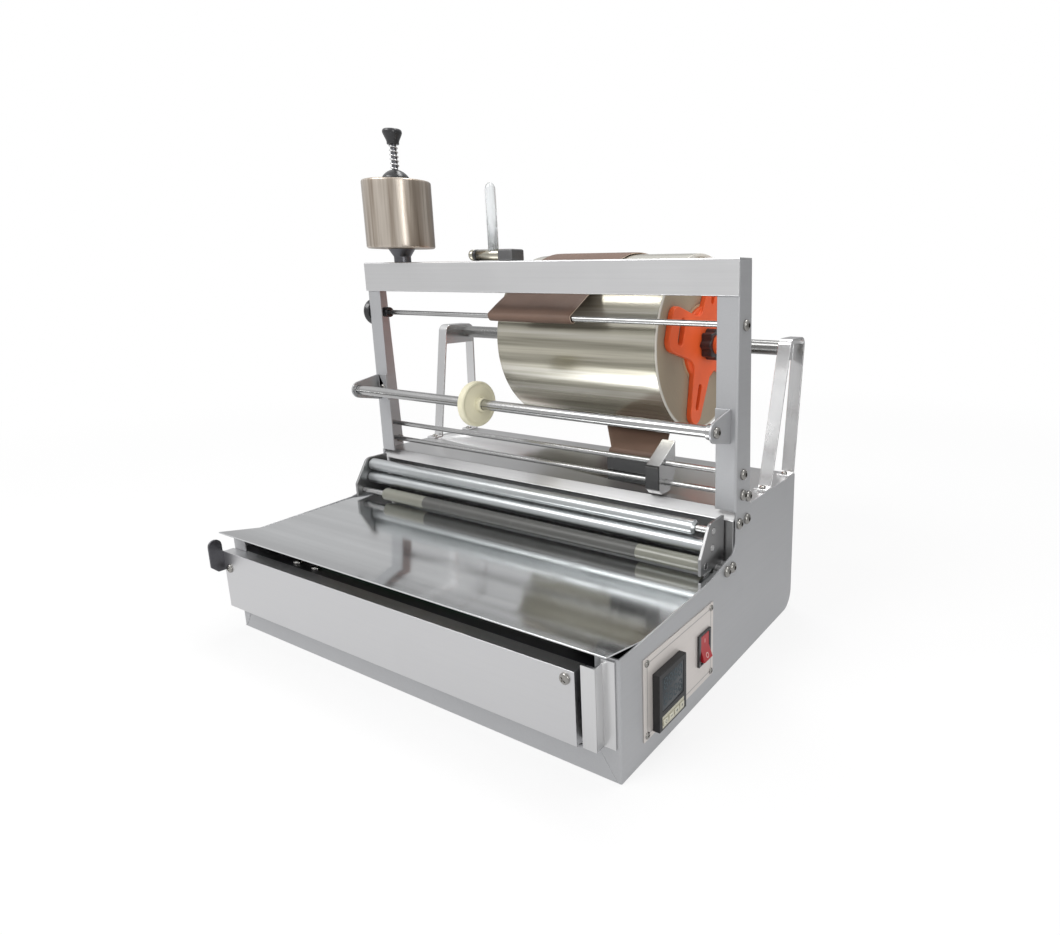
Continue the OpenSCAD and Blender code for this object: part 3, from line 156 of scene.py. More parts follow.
class Graph:
    def __init__(self, owner):
        owner.use_nodes = True
        self.owner, self.tree = owner, owner.node_tree
        self.tree.nodes.clear()

    def add(self, kind, settings=None, inputs=None, output=0):
        node = self.tree.nodes.new(kind)
        for key, value in (settings or {}).items():
            if key == "stops":
                marks = node.color_ramp.elements
                marks.remove(marks[1])
                marks[0].position, marks[0].color = value[0][0], (*value[0][1], 1)
                for spot, tint in value[1:]:
                    marks.new(spot).color = (*tint, 1)
            else:
                setattr(node, key, value)
        for key, value in (inputs or {}).items():
            socket = node.inputs[key]
            if isinstance(value, Wire):
                self.tree.links.new(value.socket, socket)
            else:
                socket.default_value = (*value, 1) if socket.type == "RGBA" and len(value) == 3 else value
        return Wire(self, node.outputs[output] if node.outputs else None)

    def coords(self):      # Object coordinates
        return self.add("ShaderNodeTexCoord", output=3)

    def mapped(self, vector, scale, location=(0, 0, 0)):
        return self.add("ShaderNodeMapping", None, {0: vector, 1: location, 3: scale})

    def noise(self, vector, scale=1, detail=2):
        return self.add("ShaderNodeTexNoise", None, {"Vector": vector, "Scale": scale, "Detail": detail})

    def cells(self, vector, scale):
        return self.add("ShaderNodeTexVoronoi", None, {"Vector": vector, "Scale": scale})

    def split(self, vector):
        first = self.add("ShaderNodeSeparateXYZ", None, {0: vector})
        return [Wire(self, socket) for socket in first.socket.node.outputs]

    def splitFrom(self, vector, centre):      # x, y and z counted from a centre
        return self.split(self.mapped(vector, (1, 1, 1), tuple(-c for c in centre)))

    def join(self, x, y, z):
        return self.add("ShaderNodeCombineXYZ", None, {0: x, 1: y, 2: z})

    def smooth(self, value, low, high):      # 0 below low, 1 above high
        span = {0: value, 1: low, 2: high, 3: 0.0, 4: 1.0}
        return self.add("ShaderNodeMapRange", {"interpolation_type": "SMOOTHSTEP"}, span)

    def mix(self, factor, a, b):
        return self.add("ShaderNodeMix", {"data_type": "RGBA"}, {0: factor, 6: a, 7: b}, 2)

    def ramp(self, value, stops):
        return self.add("ShaderNodeValToRGB", {"stops": stops}, {0: value})

    def bump(self, height, distance):
        return self.add("ShaderNodeBump", None, {"Height": height, "Distance": distance, "Strength": 1.0})

    def shader(self, inputs):
        surface = self.add("ShaderNodeBsdfPrincipled", None, inputs)
        self.add("ShaderNodeOutputMaterial", None, {0: surface})
        return self.owner


def shade(tint, factor):
    return tuple(min(1, c * factor) for c in tint)


# Finishes

alongX = (5, 620, 620)
alongY = (620, 5, 620)
alongZ = (620, 620, 5)
plainSheet = {"metal": 1.0, "grain": alongX, "streak": 0.6, "patch": 0.4, "spread": 0.08, "rough": 0.36,
              "bump": 0.00002}


def sheetSteel(name, changes):      # rolled sheet: faint long grain, soft clouds and a few handling smears
    s = {**plainSheet, **changes}
    g = Graph(bpy.data.materials.new(name))
    spot = g.coords()
    grain = g.noise(g.mapped(spot, s["grain"]), 1, 3)
    cloud = g.noise(spot, 9, 3)
    smear = g.smooth(g.noise(spot, 17, 4), 0.55, 0.72)
    speck = g.smooth(g.noise(spot, 900, 2), 0.68, 0.74)
    tone = 0.5 + (grain - 0.5) * s["streak"] + (cloud - 0.5) * s["patch"] - speck * 0.12
    tint = g.mix(tone.clipped(), shade(s["tint"], 1 - s["spread"]), shade(s["tint"], 1 + s["spread"]))
    if "oiled" in s:      # painted shade: dark left of the first edge and in front of the second, in metres
        x, y, z = g.split(spot)
        edgeX, edgeY = s["oiled"]
        unshaded = g.smooth(x, edgeX, edgeX + 0.0005) * g.smooth(y, edgeY, edgeY + 0.0005)
        tint = g.mix(unshaded, shade(s["tint"], 0.12), tint)
    rough = s["rough"] + (cloud - 0.5) * 0.1 + (grain - 0.5) * 0.08 + smear * 0.06
    return g.shader({"Base Color": tint, "Metallic": s["metal"], "Roughness": rough.clipped(),
                     "Normal": g.bump(grain, s["bump"])})


def turnedSteel(name, s):      # ground rod or roller: fine rings round its own axis, a few dull marks
    g = Graph(bpy.data.materials.new(name))
    spot = g.coords()
    rings = g.noise(g.mapped(spot, s["rings"]), 1, 2)
    cloud = g.noise(spot, 28, 3)
    mark = g.smooth(g.noise(g.mapped(spot, (60, 260, 260)), 1, 4), 0.6, 0.72)
    tone = (0.5 + (rings - 0.5) * s.get("ringTone", 0.6) + (cloud - 0.5) * 0.7 - mark * 0.35).clipped()
    tint = g.mix(tone, shade(s["tint"], 0.8), shade(s["tint"], 1.12))
    rough = s["rough"] + (rings - 0.5) * 0.1 + mark * 0.12
    return g.shader({"Base Color": tint, "Metallic": 1.0, "Roughness": rough.clipped(),
                     "Normal": g.bump(rings, s.get("bump", 0.00002))})


def moulded(name, s):      # moulded plastic: fine grain, slight colour drift and rub marks
    g = Graph(bpy.data.materials.new(name))
    spot = g.coords()
    grain = g.noise(spot, s.get("grainScale", 1600), 2)
    cloud = g.noise(spot, 30, 3)
    rub = g.smooth(g.noise(spot, 75, 5), 0.58, 0.75)
    tint = g.mix(((cloud - 0.5) * 1.2 + 0.5).clipped(), shade(s["tint"], 0.84), shade(s["tint"], 1.14))
    tint = g.mix(rub * s.get("rub", 0.25), tint, s.get("rubTint", shade(s["tint"], 1.5)))
    rough = s["rough"] + (cloud - 0.5) * 0.12 + rub * 0.1
    return g.shader({"Base Color": tint, "Roughness": rough.clipped(), "Coat Weight": s.get("coat", 0.0),
                     "Coat Roughness": 0.12, "Normal": g.bump(grain, s.get("bump", 0.00004))})


def woundFilm(name, s):      # wound web: glossy skin with painted reflection bands along its axis, layer lines on the end faces
    g = Graph(bpy.data.materials.new(name))
    spot = g.coords()
    x, y, z = g.splitFrom(spot, s["centre"])
    along, across = (x, (y, z)) if s["axis"] == "x" else (z, (x, y))
    radius = (across[0] * across[0] + across[1] * across[1]) ** 0.5
    end = g.smooth(abs(along), s["half"] - 0.0006, s["half"] - 0.0002)
    # painted reflection: light and dark bands along the axis; the same noise gives the skin a faint ripple
    # bump
    sheenAndRipple = g.noise(g.mapped(spot, s["stretch"]), 1, 3)
    fine = g.noise(g.mapped(spot, tuple(c * 6 for c in s["stretch"])), 1, 2)
    skin = g.ramp((sheenAndRipple * 0.8 + fine * 0.2).clipped(), s["skin"])
    layers = g.noise(g.join(radius * s["layers"], 0.0, 0.0), 1, 3)
    wander = g.noise(spot, 26, 2)
    face = g.mix((layers * 0.7 + wander * 0.3).clipped(), shade(s["face"], 0.72), shade(s["face"], 1.2))
    rim = g.smooth(radius, s["outer"] - s["rim"], s["outer"] - s["rim"] * 0.5)
    face = g.mix(rim * 0.8, face, s["rimTint"])
    return g.shader({"Base Color": g.mix(end, skin, face), "Metallic": (1 - end) * s["metal"],
                     "Roughness": (s["rough"] + (fine - 0.5) * 0.12 + end * 0.3).clipped(),
                     "Normal": g.bump(sheenAndRipple * 0.00012 + layers * end * 0.0002, 1.0), "Coat Weight": 0.35,
                     "Coat Roughness": 0.08})


def strapHide(name, s):      # grained leather with a pale cut edge
    g = Graph(bpy.data.materials.new(name))
    spot = g.coords()
    pores = g.cells(spot, s["pores"])
    creases = g.noise(g.mapped(spot, (220, 900, 900)), 1, 4)
    cloud = g.noise(spot, 22, 4)
    edge = g.add("ShaderNodeAttribute", {"attribute_name": "cutEdge"}, None, 2)
    tint = g.mix((cloud * 0.8 + creases * 0.3).clipped(), s["dark"], s["light"])
    tint = g.mix(g.smooth(edge, 0.35, 0.8), tint, g.mix(creases, s["cut"], shade(s["cut"], 0.75)))
    return g.shader({"Base Color": tint, "Roughness": (s["rough"] + (cloud - 0.5) * 0.2).clipped(),
                     "Normal": g.bump(pores * 0.6 + creases * 0.5, 0.00022)})


def clearRod(name, s):      # clear plastic, faintly wiped
    g = Graph(bpy.data.materials.new(name))
    spot = g.coords()
    wipe = g.smooth(g.noise(g.mapped(spot, (220, 220, 30)), 1, 3), 0.5, 0.75)
    tint = g.mix(wipe, s["tint"], shade(s["tint"], 0.9))
    return g.shader({"Base Color": tint, "Roughness": 0.22 + wipe * 0.1, "Transmission Weight": 0.72,
                     "IOR": 1.47})


def engravedPlate(name, s):      # satin label plate with a thin engraved frame line and no words
    g = Graph(bpy.data.materials.new(name))
    spot = g.coords()
    x, y, z = g.splitFrom(spot, s["centre"])
    reach = (abs(y) - s["half"][0]).op("MAXIMUM", abs(y) - s["half"][0], abs(z) - s["half"][1])
    line = 1 - g.smooth(abs(reach), 0.0003, 0.0006)
    grain = g.noise(g.mapped(spot, (40, 40, 2600)), 1, 2)
    cloud = g.noise(spot, 30, 3)
    tint = g.mix((grain * 0.6 + cloud * 0.4).clipped(), shade(s["tint"], 0.9), shade(s["tint"], 1.08))
    tint = g.mix(line * 0.75, tint, s["line"])
    rough = 0.38 + (cloud - 0.5) * 0.15
    return g.shader({"Base Color": tint, "Metallic": 0.35, "Roughness": rough.clipped(),
                     "Normal": g.bump(grain * 0.2 - line, 0.00008)})


def printed(name, s):      # moulded plastic with plain printed marks
    # a mark is (back, height, half width, half height); with None as the last it is a ring of that radius
    g = Graph(bpy.data.materials.new(name))
    spot = g.coords()
    x, y, z = g.split(spot)
    cloud = g.noise(spot, 40, 3)
    rub = g.smooth(g.noise(spot, 90, 5), 0.58, 0.75)
    tint = g.mix((cloud * 0.8 + rub * 0.2).clipped(), shade(s["tint"], 0.86), shade(s["tint"], 1.12))
    for layer in s["layers"]:
        front = g.smooth(x, (layer["face"] - 0.6) * mm, (layer["face"] - 0.4) * mm)
        for back, height, wide, tall in layer["marks"]:
            at = place(0, back, height)
            across, up = abs(y - at.y), abs(z - at.z)
            if tall is None:
                reach = abs((across * across + up * up) ** 0.5 - wide * mm) - layer["stroke"] * mm
            else:
                reach = across.op("MAXIMUM", across - wide * mm, up - tall * mm)
            tint = g.mix((1 - g.smooth(reach, 0.0, 0.00015)) * front * layer["strength"], tint, layer["tint"])
    rough = s["rough"] + (cloud - 0.5) * 0.1 + rub * 0.08
    return g.shader({"Base Color": tint, "Roughness": rough.clipped(), "Normal": g.bump(cloud, 0.00003),
                     "Coat Weight": s.get("coat", 0.0), "Coat Roughness": 0.15})


def spiralCard(name, s):      # board wound in a slanting strip
    g = Graph(bpy.data.materials.new(name))
    spot = g.coords()
    fibres = g.noise(g.mapped(spot, (900, 260, 260)), 1, 4)
    cloud = g.noise(spot, 40, 3)
    tint = g.mix((fibres * 0.6 + cloud * 0.5).clipped(), shade(s["tint"], 0.75), shade(s["tint"], 1.25))
    return g.shader({"Base Color": tint, "Roughness": 0.82, "Normal": g.bump(fibres, 0.00012)})


keyPlan = {"middle": 57, "pitch": 7.625, "height": 24}
keyMarks = [(0, 1.0, None), (1, 1.2, 0.35), (2, 0.35, 1.1), (2, 1.1, 0.35), (3, 0.9, 0.9)]      # key, mark


def keyBack(i):
    return keyPlan["middle"] + (i - 1.5) * keyPlan["pitch"]


finishes = {
    "steel_sheet": sheetSteel("sheetSteel", {"tint": (0.47, 0.475, 0.485), "metal": 0.7, "grain": alongY,
                                             "streak": 0.5, "patch": 0.5, "spread": 0.1, "rough": 0.45}),
    "mirror_sheet": sheetSteel("mirrorSteel", {"tint": (0.68, 0.69, 0.695), "grain": (1.5, 60, 60),
                                               "streak": 1.3, "spread": 0.16, "rough": 0.1, "bump": 0.00001}),
    "deck_sheet": sheetSteel("deckSteel", {"tint": (0.52, 0.52, 0.52), "streak": 0.7, "patch": 0.5,
                                           "spread": 0.1, "rough": 0.33, "bump": 0.00001}),
    "cover_sheet": sheetSteel("coverSteel", {"tint": (0.66, 0.66, 0.665), "streak": 0.4, "spread": 0.06}),
    "bright_strip": sheetSteel("brightStrip", {"tint": (0.7, 0.7, 0.7), "grain": alongZ, "rough": 0.22}),
    "dark_steel": sheetSteel("darkSteel", {"tint": (0.14, 0.14, 0.15), "patch": 0.7, "spread": 0.25,
                                           "bump": 0.00003}),
    "bright_rod": turnedSteel("brightRod", {"tint": (0.46, 0.46, 0.455), "rings": (2600, 40, 40),
                                            "rough": 0.2}),
    "roller_steel": turnedSteel("rollerSteel", {"tint": (0.5, 0.52, 0.525), "rings": (2200, 40, 40),
                                                "ringTone": 0.25, "bump": 0.000004, "rough": 0.3}),
    "screw_steel": turnedSteel("screwSteel", {"tint": (0.36, 0.35, 0.33), "rings": (700, 700, 700),
                                              "ringTone": 0.3, "bump": 0.000006, "rough": 0.13}),
    "heater_alloy": sheetSteel("heaterAlloy", {"tint": (0.5, 0.5, 0.5), "patch": 0.7, "spread": 0.2,
                                               "rough": 0.45, "bump": 0.00004}),
    "insulation": moulded("fibrePad", {"tint": (0.8, 0.76, 0.66), "rough": 0.95, "bump": 0.0005,
                                       "grainScale": 500}),
    "wire_jackets": moulded("redJacket", {"tint": (0.5, 0.04, 0.03), "rough": 0.4}),
    "ivory_plastic": moulded("ivoryBlock", {"tint": (0.78, 0.75, 0.64), "rough": 0.45}),
    "black_plastic": moulded("blackPlastic", {"tint": (0.018, 0.018, 0.02), "rough": 0.3, "coat": 0.3,
                                              "rubTint": (0.06, 0.06, 0.065)}),
    "panel_plate": engravedPlate("panelPlate", {"tint": (0.66, 0.62, 0.59), "line": (0.3, 0.29, 0.28),
                                                "centre": place(225.5, 79, 47), "half": (0.0475, 0.0275)}),
    "key_plastic": printed("keyPlastic", {"tint": (0.6, 0.58, 0.47), "rough": 0.4, "layers": [
        {"face": 232.9, "stroke": 0.25, "strength": 0.85, "tint": (0.06, 0.06, 0.06),
         "marks": [(keyBack(i), keyPlan["height"], wide, tall) for i, wide, tall in keyMarks]}]}),
    "red_plastic": printed("redRocker", {"tint": (0.4, 0.006, 0.012), "rough": 0.3, "coat": 0.2, "layers": [
        {"face": 224, "stroke": 0.3, "strength": 0.6, "tint": (0.7, 0.6, 0.56),
         "marks": [(114, 53, 0.35, 1.7), (114, 41, 1.7, None)]}]}),
    "keypad": printed("keypadFace", {"tint": (0.01, 0.01, 0.011), "rough": 0.42, "layers": [
        {"face": 232, "stroke": 0.3, "strength": 0.95, "tint": (0.52, 0.5, 0.4),
         "marks": [(keyPlan["middle"], 24.3, 15.2, 4.6)]}]}),
    "nylon": moulded("turnedNylon", {"tint": (0.78, 0.74, 0.55), "rough": 0.42, "rub": 0.3,
                                     "rubTint": (0.86, 0.83, 0.68)}),
    "core_card": spiralCard("coreCard", {"tint": (0.45, 0.33, 0.2)}),
    # the film and tape skins carry painted reflection bands in their stop colours
    "film": woundFilm("woundFilm", {
        "centre": place(*rollCentre), "axis": "x", "stretch": (1.2, 60, 60), "half": 0.098, "outer": 0.09,
        "rim": 0.004, "layers": 2600, "face": (0.36, 0.29, 0.2), "rimTint": (0.86, 0.84, 0.78), "metal": 0.7,
        "rough": 0.24, "skin": [(0.34, (0.27, 0.255, 0.2)), (0.46, (0.5, 0.475, 0.39)),
                                (0.56, (0.7, 0.68, 0.6)), (0.7, (0.44, 0.42, 0.34))]}),
    "tape": woundFilm("woundTape", {
        "centre": onSpindle(tapeMiddle), "axis": "z", "stretch": (62, 62, 2), "half": 0.034, "outer": 0.034,
        "rim": 0.0015, "layers": 3000, "face": (0.36, 0.3, 0.24), "rimTint": (0.55, 0.5, 0.44), "metal": 0.8,
        "rough": 0.33, "skin": [(0.36, (0.2, 0.155, 0.115)), (0.47, (0.4, 0.34, 0.28)),
                                (0.56, (0.58, 0.52, 0.45)), (0.7, (0.28, 0.23, 0.18))]}),
    "orange_plastic": moulded("orangePlastic", {"tint": (0.9, 0.12, 0.025), "rough": 0.42, "rub": 0.12,
                                                "rubTint": (1, 0.3, 0.12)}),
    "strap_leather": strapHide("strapLeather", {"pores": 1100, "dark": (0.1, 0.06, 0.042),
                                                "light": (0.2, 0.12, 0.085), "cut": (0.55, 0.42, 0.32),
                                                "rough": 0.6}),
    "spring_wire": turnedSteel("springWire", {"tint": (0.7, 0.7, 0.7), "rings": (500, 500, 500),
                                              "rough": 0.16}),
    "clear_plastic": clearRod("clearRod", {"tint": (0.93, 0.95, 0.96)}),
    "zinc_block": sheetSteel("zincBlock", {"tint": (0.17, 0.17, 0.17), "grain": (400, 400, 400),
                                           "streak": 0.8, "patch": 0.6, "spread": 0.2, "rough": 0.4,
                                           "bump": 0.00006}),
    "roller_rubber": moulded("rollerRubber", {"tint": (0.075, 0.075, 0.07), "rough": 0.42, "rub": 0.4,
                                              "rubTint": (0.16, 0.16, 0.15)}),
    "pale_sleeve": moulded("paleSleeve", {"tint": (0.2, 0.2, 0.165), "rough": 0.3, "coat": 0.3}),
    "headerSteel": sheetSteel("headerSteel", {"tint": (0.7, 0.7, 0.7), "streak": 0.5, "patch": 0.5}),
    "endSteel": sheetSteel("endSteel", {"tint": (0.72, 0.72, 0.72), "grain": alongZ, "streak": 0.5,
                                        "spread": 0.07, "bump": 0.00001}),
    "cheekSteel": sheetSteel("cheekSteel", {"tint": (0.3, 0.3, 0.3), "grain": alongZ, "patch": 0.6,
                                            "spread": 0.15, "bump": 0.00003}),
    # the weight's front and its left part are darkened with painted shade
    "weightSteel": sheetSteel("weightSteel", {"tint": (0.7, 0.7, 0.7), "grain": alongZ, "rough": 0.25,
                                              "oiled": (0.1345, 0.0187)}),
    "shaftSteel": turnedSteel("shaftSteel", {"tint": (0.24, 0.24, 0.235), "rings": (2600, 40, 40),
                                             "rough": 0.25}),
    "postNickel": turnedSteel("postNickel", {"tint": (0.45, 0.43, 0.36), "rings": (1800, 40, 40),
                                             "ringTone": 0.3, "bump": 0.000006, "rough": 0.16}),
}
print("finishes made:", len(finishes))


# Mesh helpers

def meshObject(name, points, faces, smooth=True):
    mesh = bpy.data.meshes.new(name)
    mesh.from_pydata([tuple(p) for p in points], [], faces)
    mesh.validate()
    for face in mesh.polygons:
        face.use_smooth = smooth
    return linked(name, mesh)


def fromShape(name, shape):      # an object from a bmesh, which is used up
    mesh = bpy.data.meshes.new(name)
    shape.to_mesh(mesh)
    shape.free()
    for face in mesh.polygons:
        face.use_smooth = True
    return linked(name, mesh)


def keepCrisp(obj, degrees):      # edges that turn by more than this stay sharp
    obj.data.set_sharp_from_angle(angle=math.radians(degrees))


def settle(obj):      # modifiers and place go into the mesh
    bpy.context.view_layer.update()
    graph = bpy.context.evaluated_depsgraph_get()
    finished = obj.evaluated_get(graph)
    mesh = bpy.data.meshes.new_from_object(finished, preserve_all_data_layers=True, depsgraph=graph)
    mesh.transform(obj.matrix_world)
    name = obj.name
    bpy.data.objects.remove(obj)
    mesh.name = name
    return linked(name, mesh)


def faceOutwards(obj):
    shape = bmesh.new()
    shape.from_mesh(obj.data)
    bmesh.ops.remove_doubles(shape, verts=shape.verts, dist=1e-7)
    bmesh.ops.recalc_face_normals(shape, faces=shape.faces)
    shape.to_mesh(obj.data)
    shape.free()
    return obj


def camel(node):
    first, *others = node.split("_")
    return first + "".join(word.capitalize() for word in others)


def seat(obj, node, finish=None, replace=True):      # finish, body, slot and the node it stands for
    slot = slotOf[node]
    if finish is None:
        finish = finishes[slot]
    obj.data.materials.clear()
    obj.data.materials.append(finish)
    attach(obj, bodyOf[node])
    if replace:
        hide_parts(node)
    return obj


def edged(shape, name, bevel=0.3, segments=2, fold=0.0, folds=None):
    # the shape with its edges broken; folds picks the edges that are bent sheet and get the wider radius
    widest = max(bevel, fold)
    weights = []
    for edge in shape.edges:
        weight = 0.0
        if len(edge.link_faces) == 2 and edge.calc_face_angle(0) > math.radians(28):
            weight = bevel / widest
            if folds and folds((edge.verts[0].co + edge.verts[1].co) / 2, edge):
                weight = fold / widest
        weights.append(weight)
    made = fromShape(name, shape)
    values = made.data.attributes.new("bevel_weight_edge", "FLOAT", "EDGE")
    values.data.foreach_set("value", weights)
    rounder = made.modifiers.new("edges", "BEVEL")
    rounder.limit_method, rounder.width, rounder.segments = "WEIGHT", widest * mm, segments
    rounder.use_clamp_overlap, rounder.miter_outer = False, "MITER_SHARP"
    flat = made.modifiers.new("flatShading", "WEIGHTED_NORMAL")
    flat.keep_sharp = True
    made = settle(made)
    keepCrisp(made, 50)
    return made


def dressed(node, bevel=0.3, segments=2, fold=0.0, folds=None, finish=None):
    # a CAD node's own shape with its edges broken
    shape = bmesh.new()
    shape.from_mesh(cadNodes[node].data)
    bmesh.ops.remove_doubles(shape, verts=shape.verts, dist=2e-6)
    bmesh.ops.dissolve_limit(shape, angle_limit=math.radians(0.4), verts=shape.verts, edges=shape.edges)
    return seat(edged(shape, camel(node), bevel, segments, fold, folds), node, finish)


def revolved(name, profile, origin, axis, steps=96):
    # profile: (radius, along) pairs in mm, from a point on the axis to another
    turn = Vector((0, 0, 1)).rotation_difference(Vector(axis)).to_matrix()
    points, faces, rows = [], [], []
    for radius, along in profile:
        if radius == 0:
            rows.append([len(points)])
            points.append(origin + turn @ Vector((0, 0, along * mm)))
        else:
            rows.append(list(range(len(points), len(points) + steps)))
            for i in range(steps):
                a = 2 * math.pi * i / steps
                spoke = Vector((radius * math.cos(a), radius * math.sin(a), along))
                points.append(origin + turn @ (spoke * mm))
    for low, high in zip(rows, rows[1:]):
        for i in range(steps):
            j = (i + 1) % steps
            if len(low) == 1:
                faces.append((low[0], high[j], high[i]))
            elif len(high) == 1:
                faces.append((low[i], low[j], high[0]))
            else:
                faces.append((low[i], low[j], high[j], high[i]))
    return meshObject(name, points, faces)


def closedRevolved(name, profile, origin, axis, steps=96):      # a ring: its profile closes on itself
    return faceOutwards(revolved(name, profile + [profile[0]], origin, axis, steps))


def boxPiece(name, x0, x1, back0, back1, low, high, bevel=0.2):
    shape = bmesh.new()
    a, b = place(x0, back0, low), place(x1, back1, high)
    stretch = Matrix.Translation((a + b) / 2) @ Matrix.Diagonal((*(b - a), 1))
    bmesh.ops.create_cube(shape, size=1, matrix=stretch)
    bmesh.ops.bevel(shape, geom=shape.edges, offset=bevel * mm, segments=2, affect="EDGES", profile=0.5)
    made = fromShape(name, shape)
    keepCrisp(made, 30)
    return made


def roundEdge(centre, radius, start, stop, count=4):      # points of an arc, in degrees
    turns = [math.radians(start + (stop - start) * i / count) for i in range(count + 1)]
    return [(centre[0] + radius * math.cos(a), centre[1] + radius * math.sin(a)) for a in turns]


# Geometry Nodes trees

class NodeTree:
    def __init__(self, name, sockets):
        self.tree = bpy.data.node_groups.new(name, "GeometryNodeTree")
        self.names = {}
        for title, kind in [("Geometry", "NodeSocketGeometry"), *sockets]:
            made = self.tree.interface.new_socket(name=title, in_out="INPUT", socket_type=kind)
            self.names[title] = made.identifier
        self.tree.interface.new_socket(name="Geometry", in_out="OUTPUT", socket_type="NodeSocketGeometry")
        self.inputs = self.tree.nodes.new("NodeGroupInput")

    def given(self, title):
        return self.inputs.outputs[title]

    def add(self, kind, settings=None, inputs=None, output=0):
        node = self.tree.nodes.new(kind)
        for key, value in (settings or {}).items():
            setattr(node, key, value)
        for key, value in (inputs or {}).items():
            if isinstance(value, bpy.types.NodeSocket):
                self.tree.links.new(value, node.inputs[key])
            else:
                node.inputs[key].default_value = value
        return node.outputs[output]

    def end(self, geometry):
        real = self.add("GeometryNodeRealizeInstances", None, {0: geometry})
        finish = self.given("Material")
        painted = self.add("GeometryNodeSetMaterial", None, {"Geometry": real, "Material": finish})
        last = self.tree.nodes.new("NodeGroupOutput")
        self.tree.links.new(painted, last.inputs[0])

    def use(self, obj, values):
        modifier = obj.modifiers.new(self.tree.name, "NODES")
        modifier.node_group = self.tree
        for title, value in values.items():
            modifier[self.names[title]] = value
        return settle(obj)


def fastenerTree():      # one head at every point, turned to face the point's own direction
    t = NodeTree("fasteners", [("Head", "NodeSocketObject"), ("Material", "NodeSocketMaterial"),
                               ("Size", "NodeSocketFloat"), ("Turn Seed", "NodeSocketInt")])
    source = t.add("GeometryNodeObjectInfo", {"transform_space": "ORIGINAL"}, {"Object": t.given("Head")},
                   "Geometry")
    facing = t.add("GeometryNodeInputNamedAttribute", {"data_type": "FLOAT_VECTOR"}, {"Name": "facing"})
    size = t.add("GeometryNodeInputNamedAttribute", {"data_type": "FLOAT_VECTOR"}, {"Name": "headSize"})
    turn = t.add("FunctionNodeRandomValue", {"data_type": "FLOAT"},
                 {2: 0.0, 3: 6.283, "Seed": t.given("Turn Seed")}, 1)
    spun = t.add("FunctionNodeAxisAngleToRotation", None, {"Axis": (0, 0, 1), "Angle": turn})
    aimed = t.add("FunctionNodeAlignRotationToVector", {"axis": "Z"}, {"Rotation": spun, "Vector": facing})
    scaled = t.add("ShaderNodeVectorMath", {"operation": "SCALE"}, {0: size, "Scale": t.given("Size")})
    placed = t.add("GeometryNodeInstanceOnPoints", None,
                   {"Points": t.given("Geometry"), "Instance": source, "Rotation": aimed, "Scale": scaled})
    t.end(placed)
    return t


def coilTree():      # a wire coil from its turns, radius and height
    t = NodeTree("coil", [("Turns", "NodeSocketFloat"), ("Coil Radius", "NodeSocketFloat"),
                          ("Height", "NodeSocketFloat"), ("Wire Radius", "NodeSocketFloat"),
                          ("Material", "NodeSocketMaterial")])
    radius = t.given("Coil Radius")
    line = t.add("GeometryNodeCurveSpiral", None,
                 {"Resolution": 40, "Rotations": t.given("Turns"), "Start Radius": radius,
                  "End Radius": radius, "Height": t.given("Height")})
    ring = t.add("GeometryNodeCurvePrimitiveCircle", {"mode": "RADIUS"},
                 {"Resolution": 12, "Radius": t.given("Wire Radius")})
    tube = t.add("GeometryNodeCurveToMesh", None, {0: line, 1: ring, "Fill Caps": True})
    smooth = t.add("GeometryNodeSetShadeSmooth", None, {0: tube})
    t.end(smooth)
    return t


headShape = {"foot": 0.97, "chamfer": 0.06, "rim": 0.34, "crossLong": 1.15, "crossWide": 0.22,
             "hexagon": 0.42, "recess": 1.02, "nutEdge": 0.05}      # shares of the head's radius and height


def screwHead(name, recess):      # unit head, radius 1 and height 1, with a cross or hexagon in its crown
    s = headShape
    crown = [math.radians(a) for a in (15, 30, 45, 60, 75)]
    profile = [(0, 0), (s["foot"], 0), (1, s["chamfer"]), (1, s["rim"])]
    profile += [(math.cos(a), s["rim"] + (1 - s["rim"]) * math.sin(a)) for a in crown] + [(0, 1)]
    head = revolved(name, [(r / mm, h / mm) for r, h in profile], Vector((0, 0, 0)), (0, 0, 1), 28)
    for k in range(2 if recess == "cross" else 1):
        cut = bmesh.new()
        if recess == "cross":
            bar = Matrix.Diagonal((s["crossLong"], s["crossWide"], 1, 1))
            bmesh.ops.create_cube(cut, size=1, matrix=Matrix.Rotation(math.pi / 2 * k, 4, "Z") @ bar)
        else:
            bmesh.ops.create_cone(cut, cap_ends=True, segments=6, radius1=s["hexagon"], radius2=s["hexagon"],
                                  depth=1)
        bmesh.ops.translate(cut, verts=cut.verts, vec=(0, 0, s["recess"]))
        tool = fromShape("recess", cut)
        sink = head.modifiers.new("recess", "BOOLEAN")
        sink.operation, sink.object, sink.solver = "DIFFERENCE", tool, "EXACT"
        head = settle(head)
        bpy.data.objects.remove(tool)
    for face in head.data.polygons:
        face.use_smooth = True
    keepCrisp(head, 35)
    return head


def hexNut(name):      # unit nut: radius 1 and height 1
    shape = bmesh.new()
    bmesh.ops.create_cone(shape, cap_ends=True, segments=6, radius1=1, radius2=1, depth=1)
    bmesh.ops.translate(shape, verts=shape.verts, vec=(0, 0, 0.5))
    bmesh.ops.bevel(shape, geom=shape.edges, offset=headShape["nutEdge"], segments=2, affect="EDGES",
                    profile=0.5)
    made = fromShape(name, shape)
    for face in made.data.polygons:
        face.use_smooth = False
    return made


def fasteners(name, head, spots, node, seed, replace=True):
    # spots: (place, direction, head radius, head height)
    made = meshObject(name, [spot[0] for spot in spots], [])
    facing = made.data.attributes.new("facing", "FLOAT_VECTOR", "POINT")
    size = made.data.attributes.new("headSize", "FLOAT_VECTOR", "POINT")
    for i, (_, direction, radius, height) in enumerate(spots):
        facing.data[i].vector = direction
        size.data[i].vector = Vector((radius, radius, height)) * mm
    made = heads.use(made, {"Head": head, "Material": finishes[slotOf[node]], "Size": 1.0, "Turn Seed": seed})
    return seat(made, node, replace=replace)


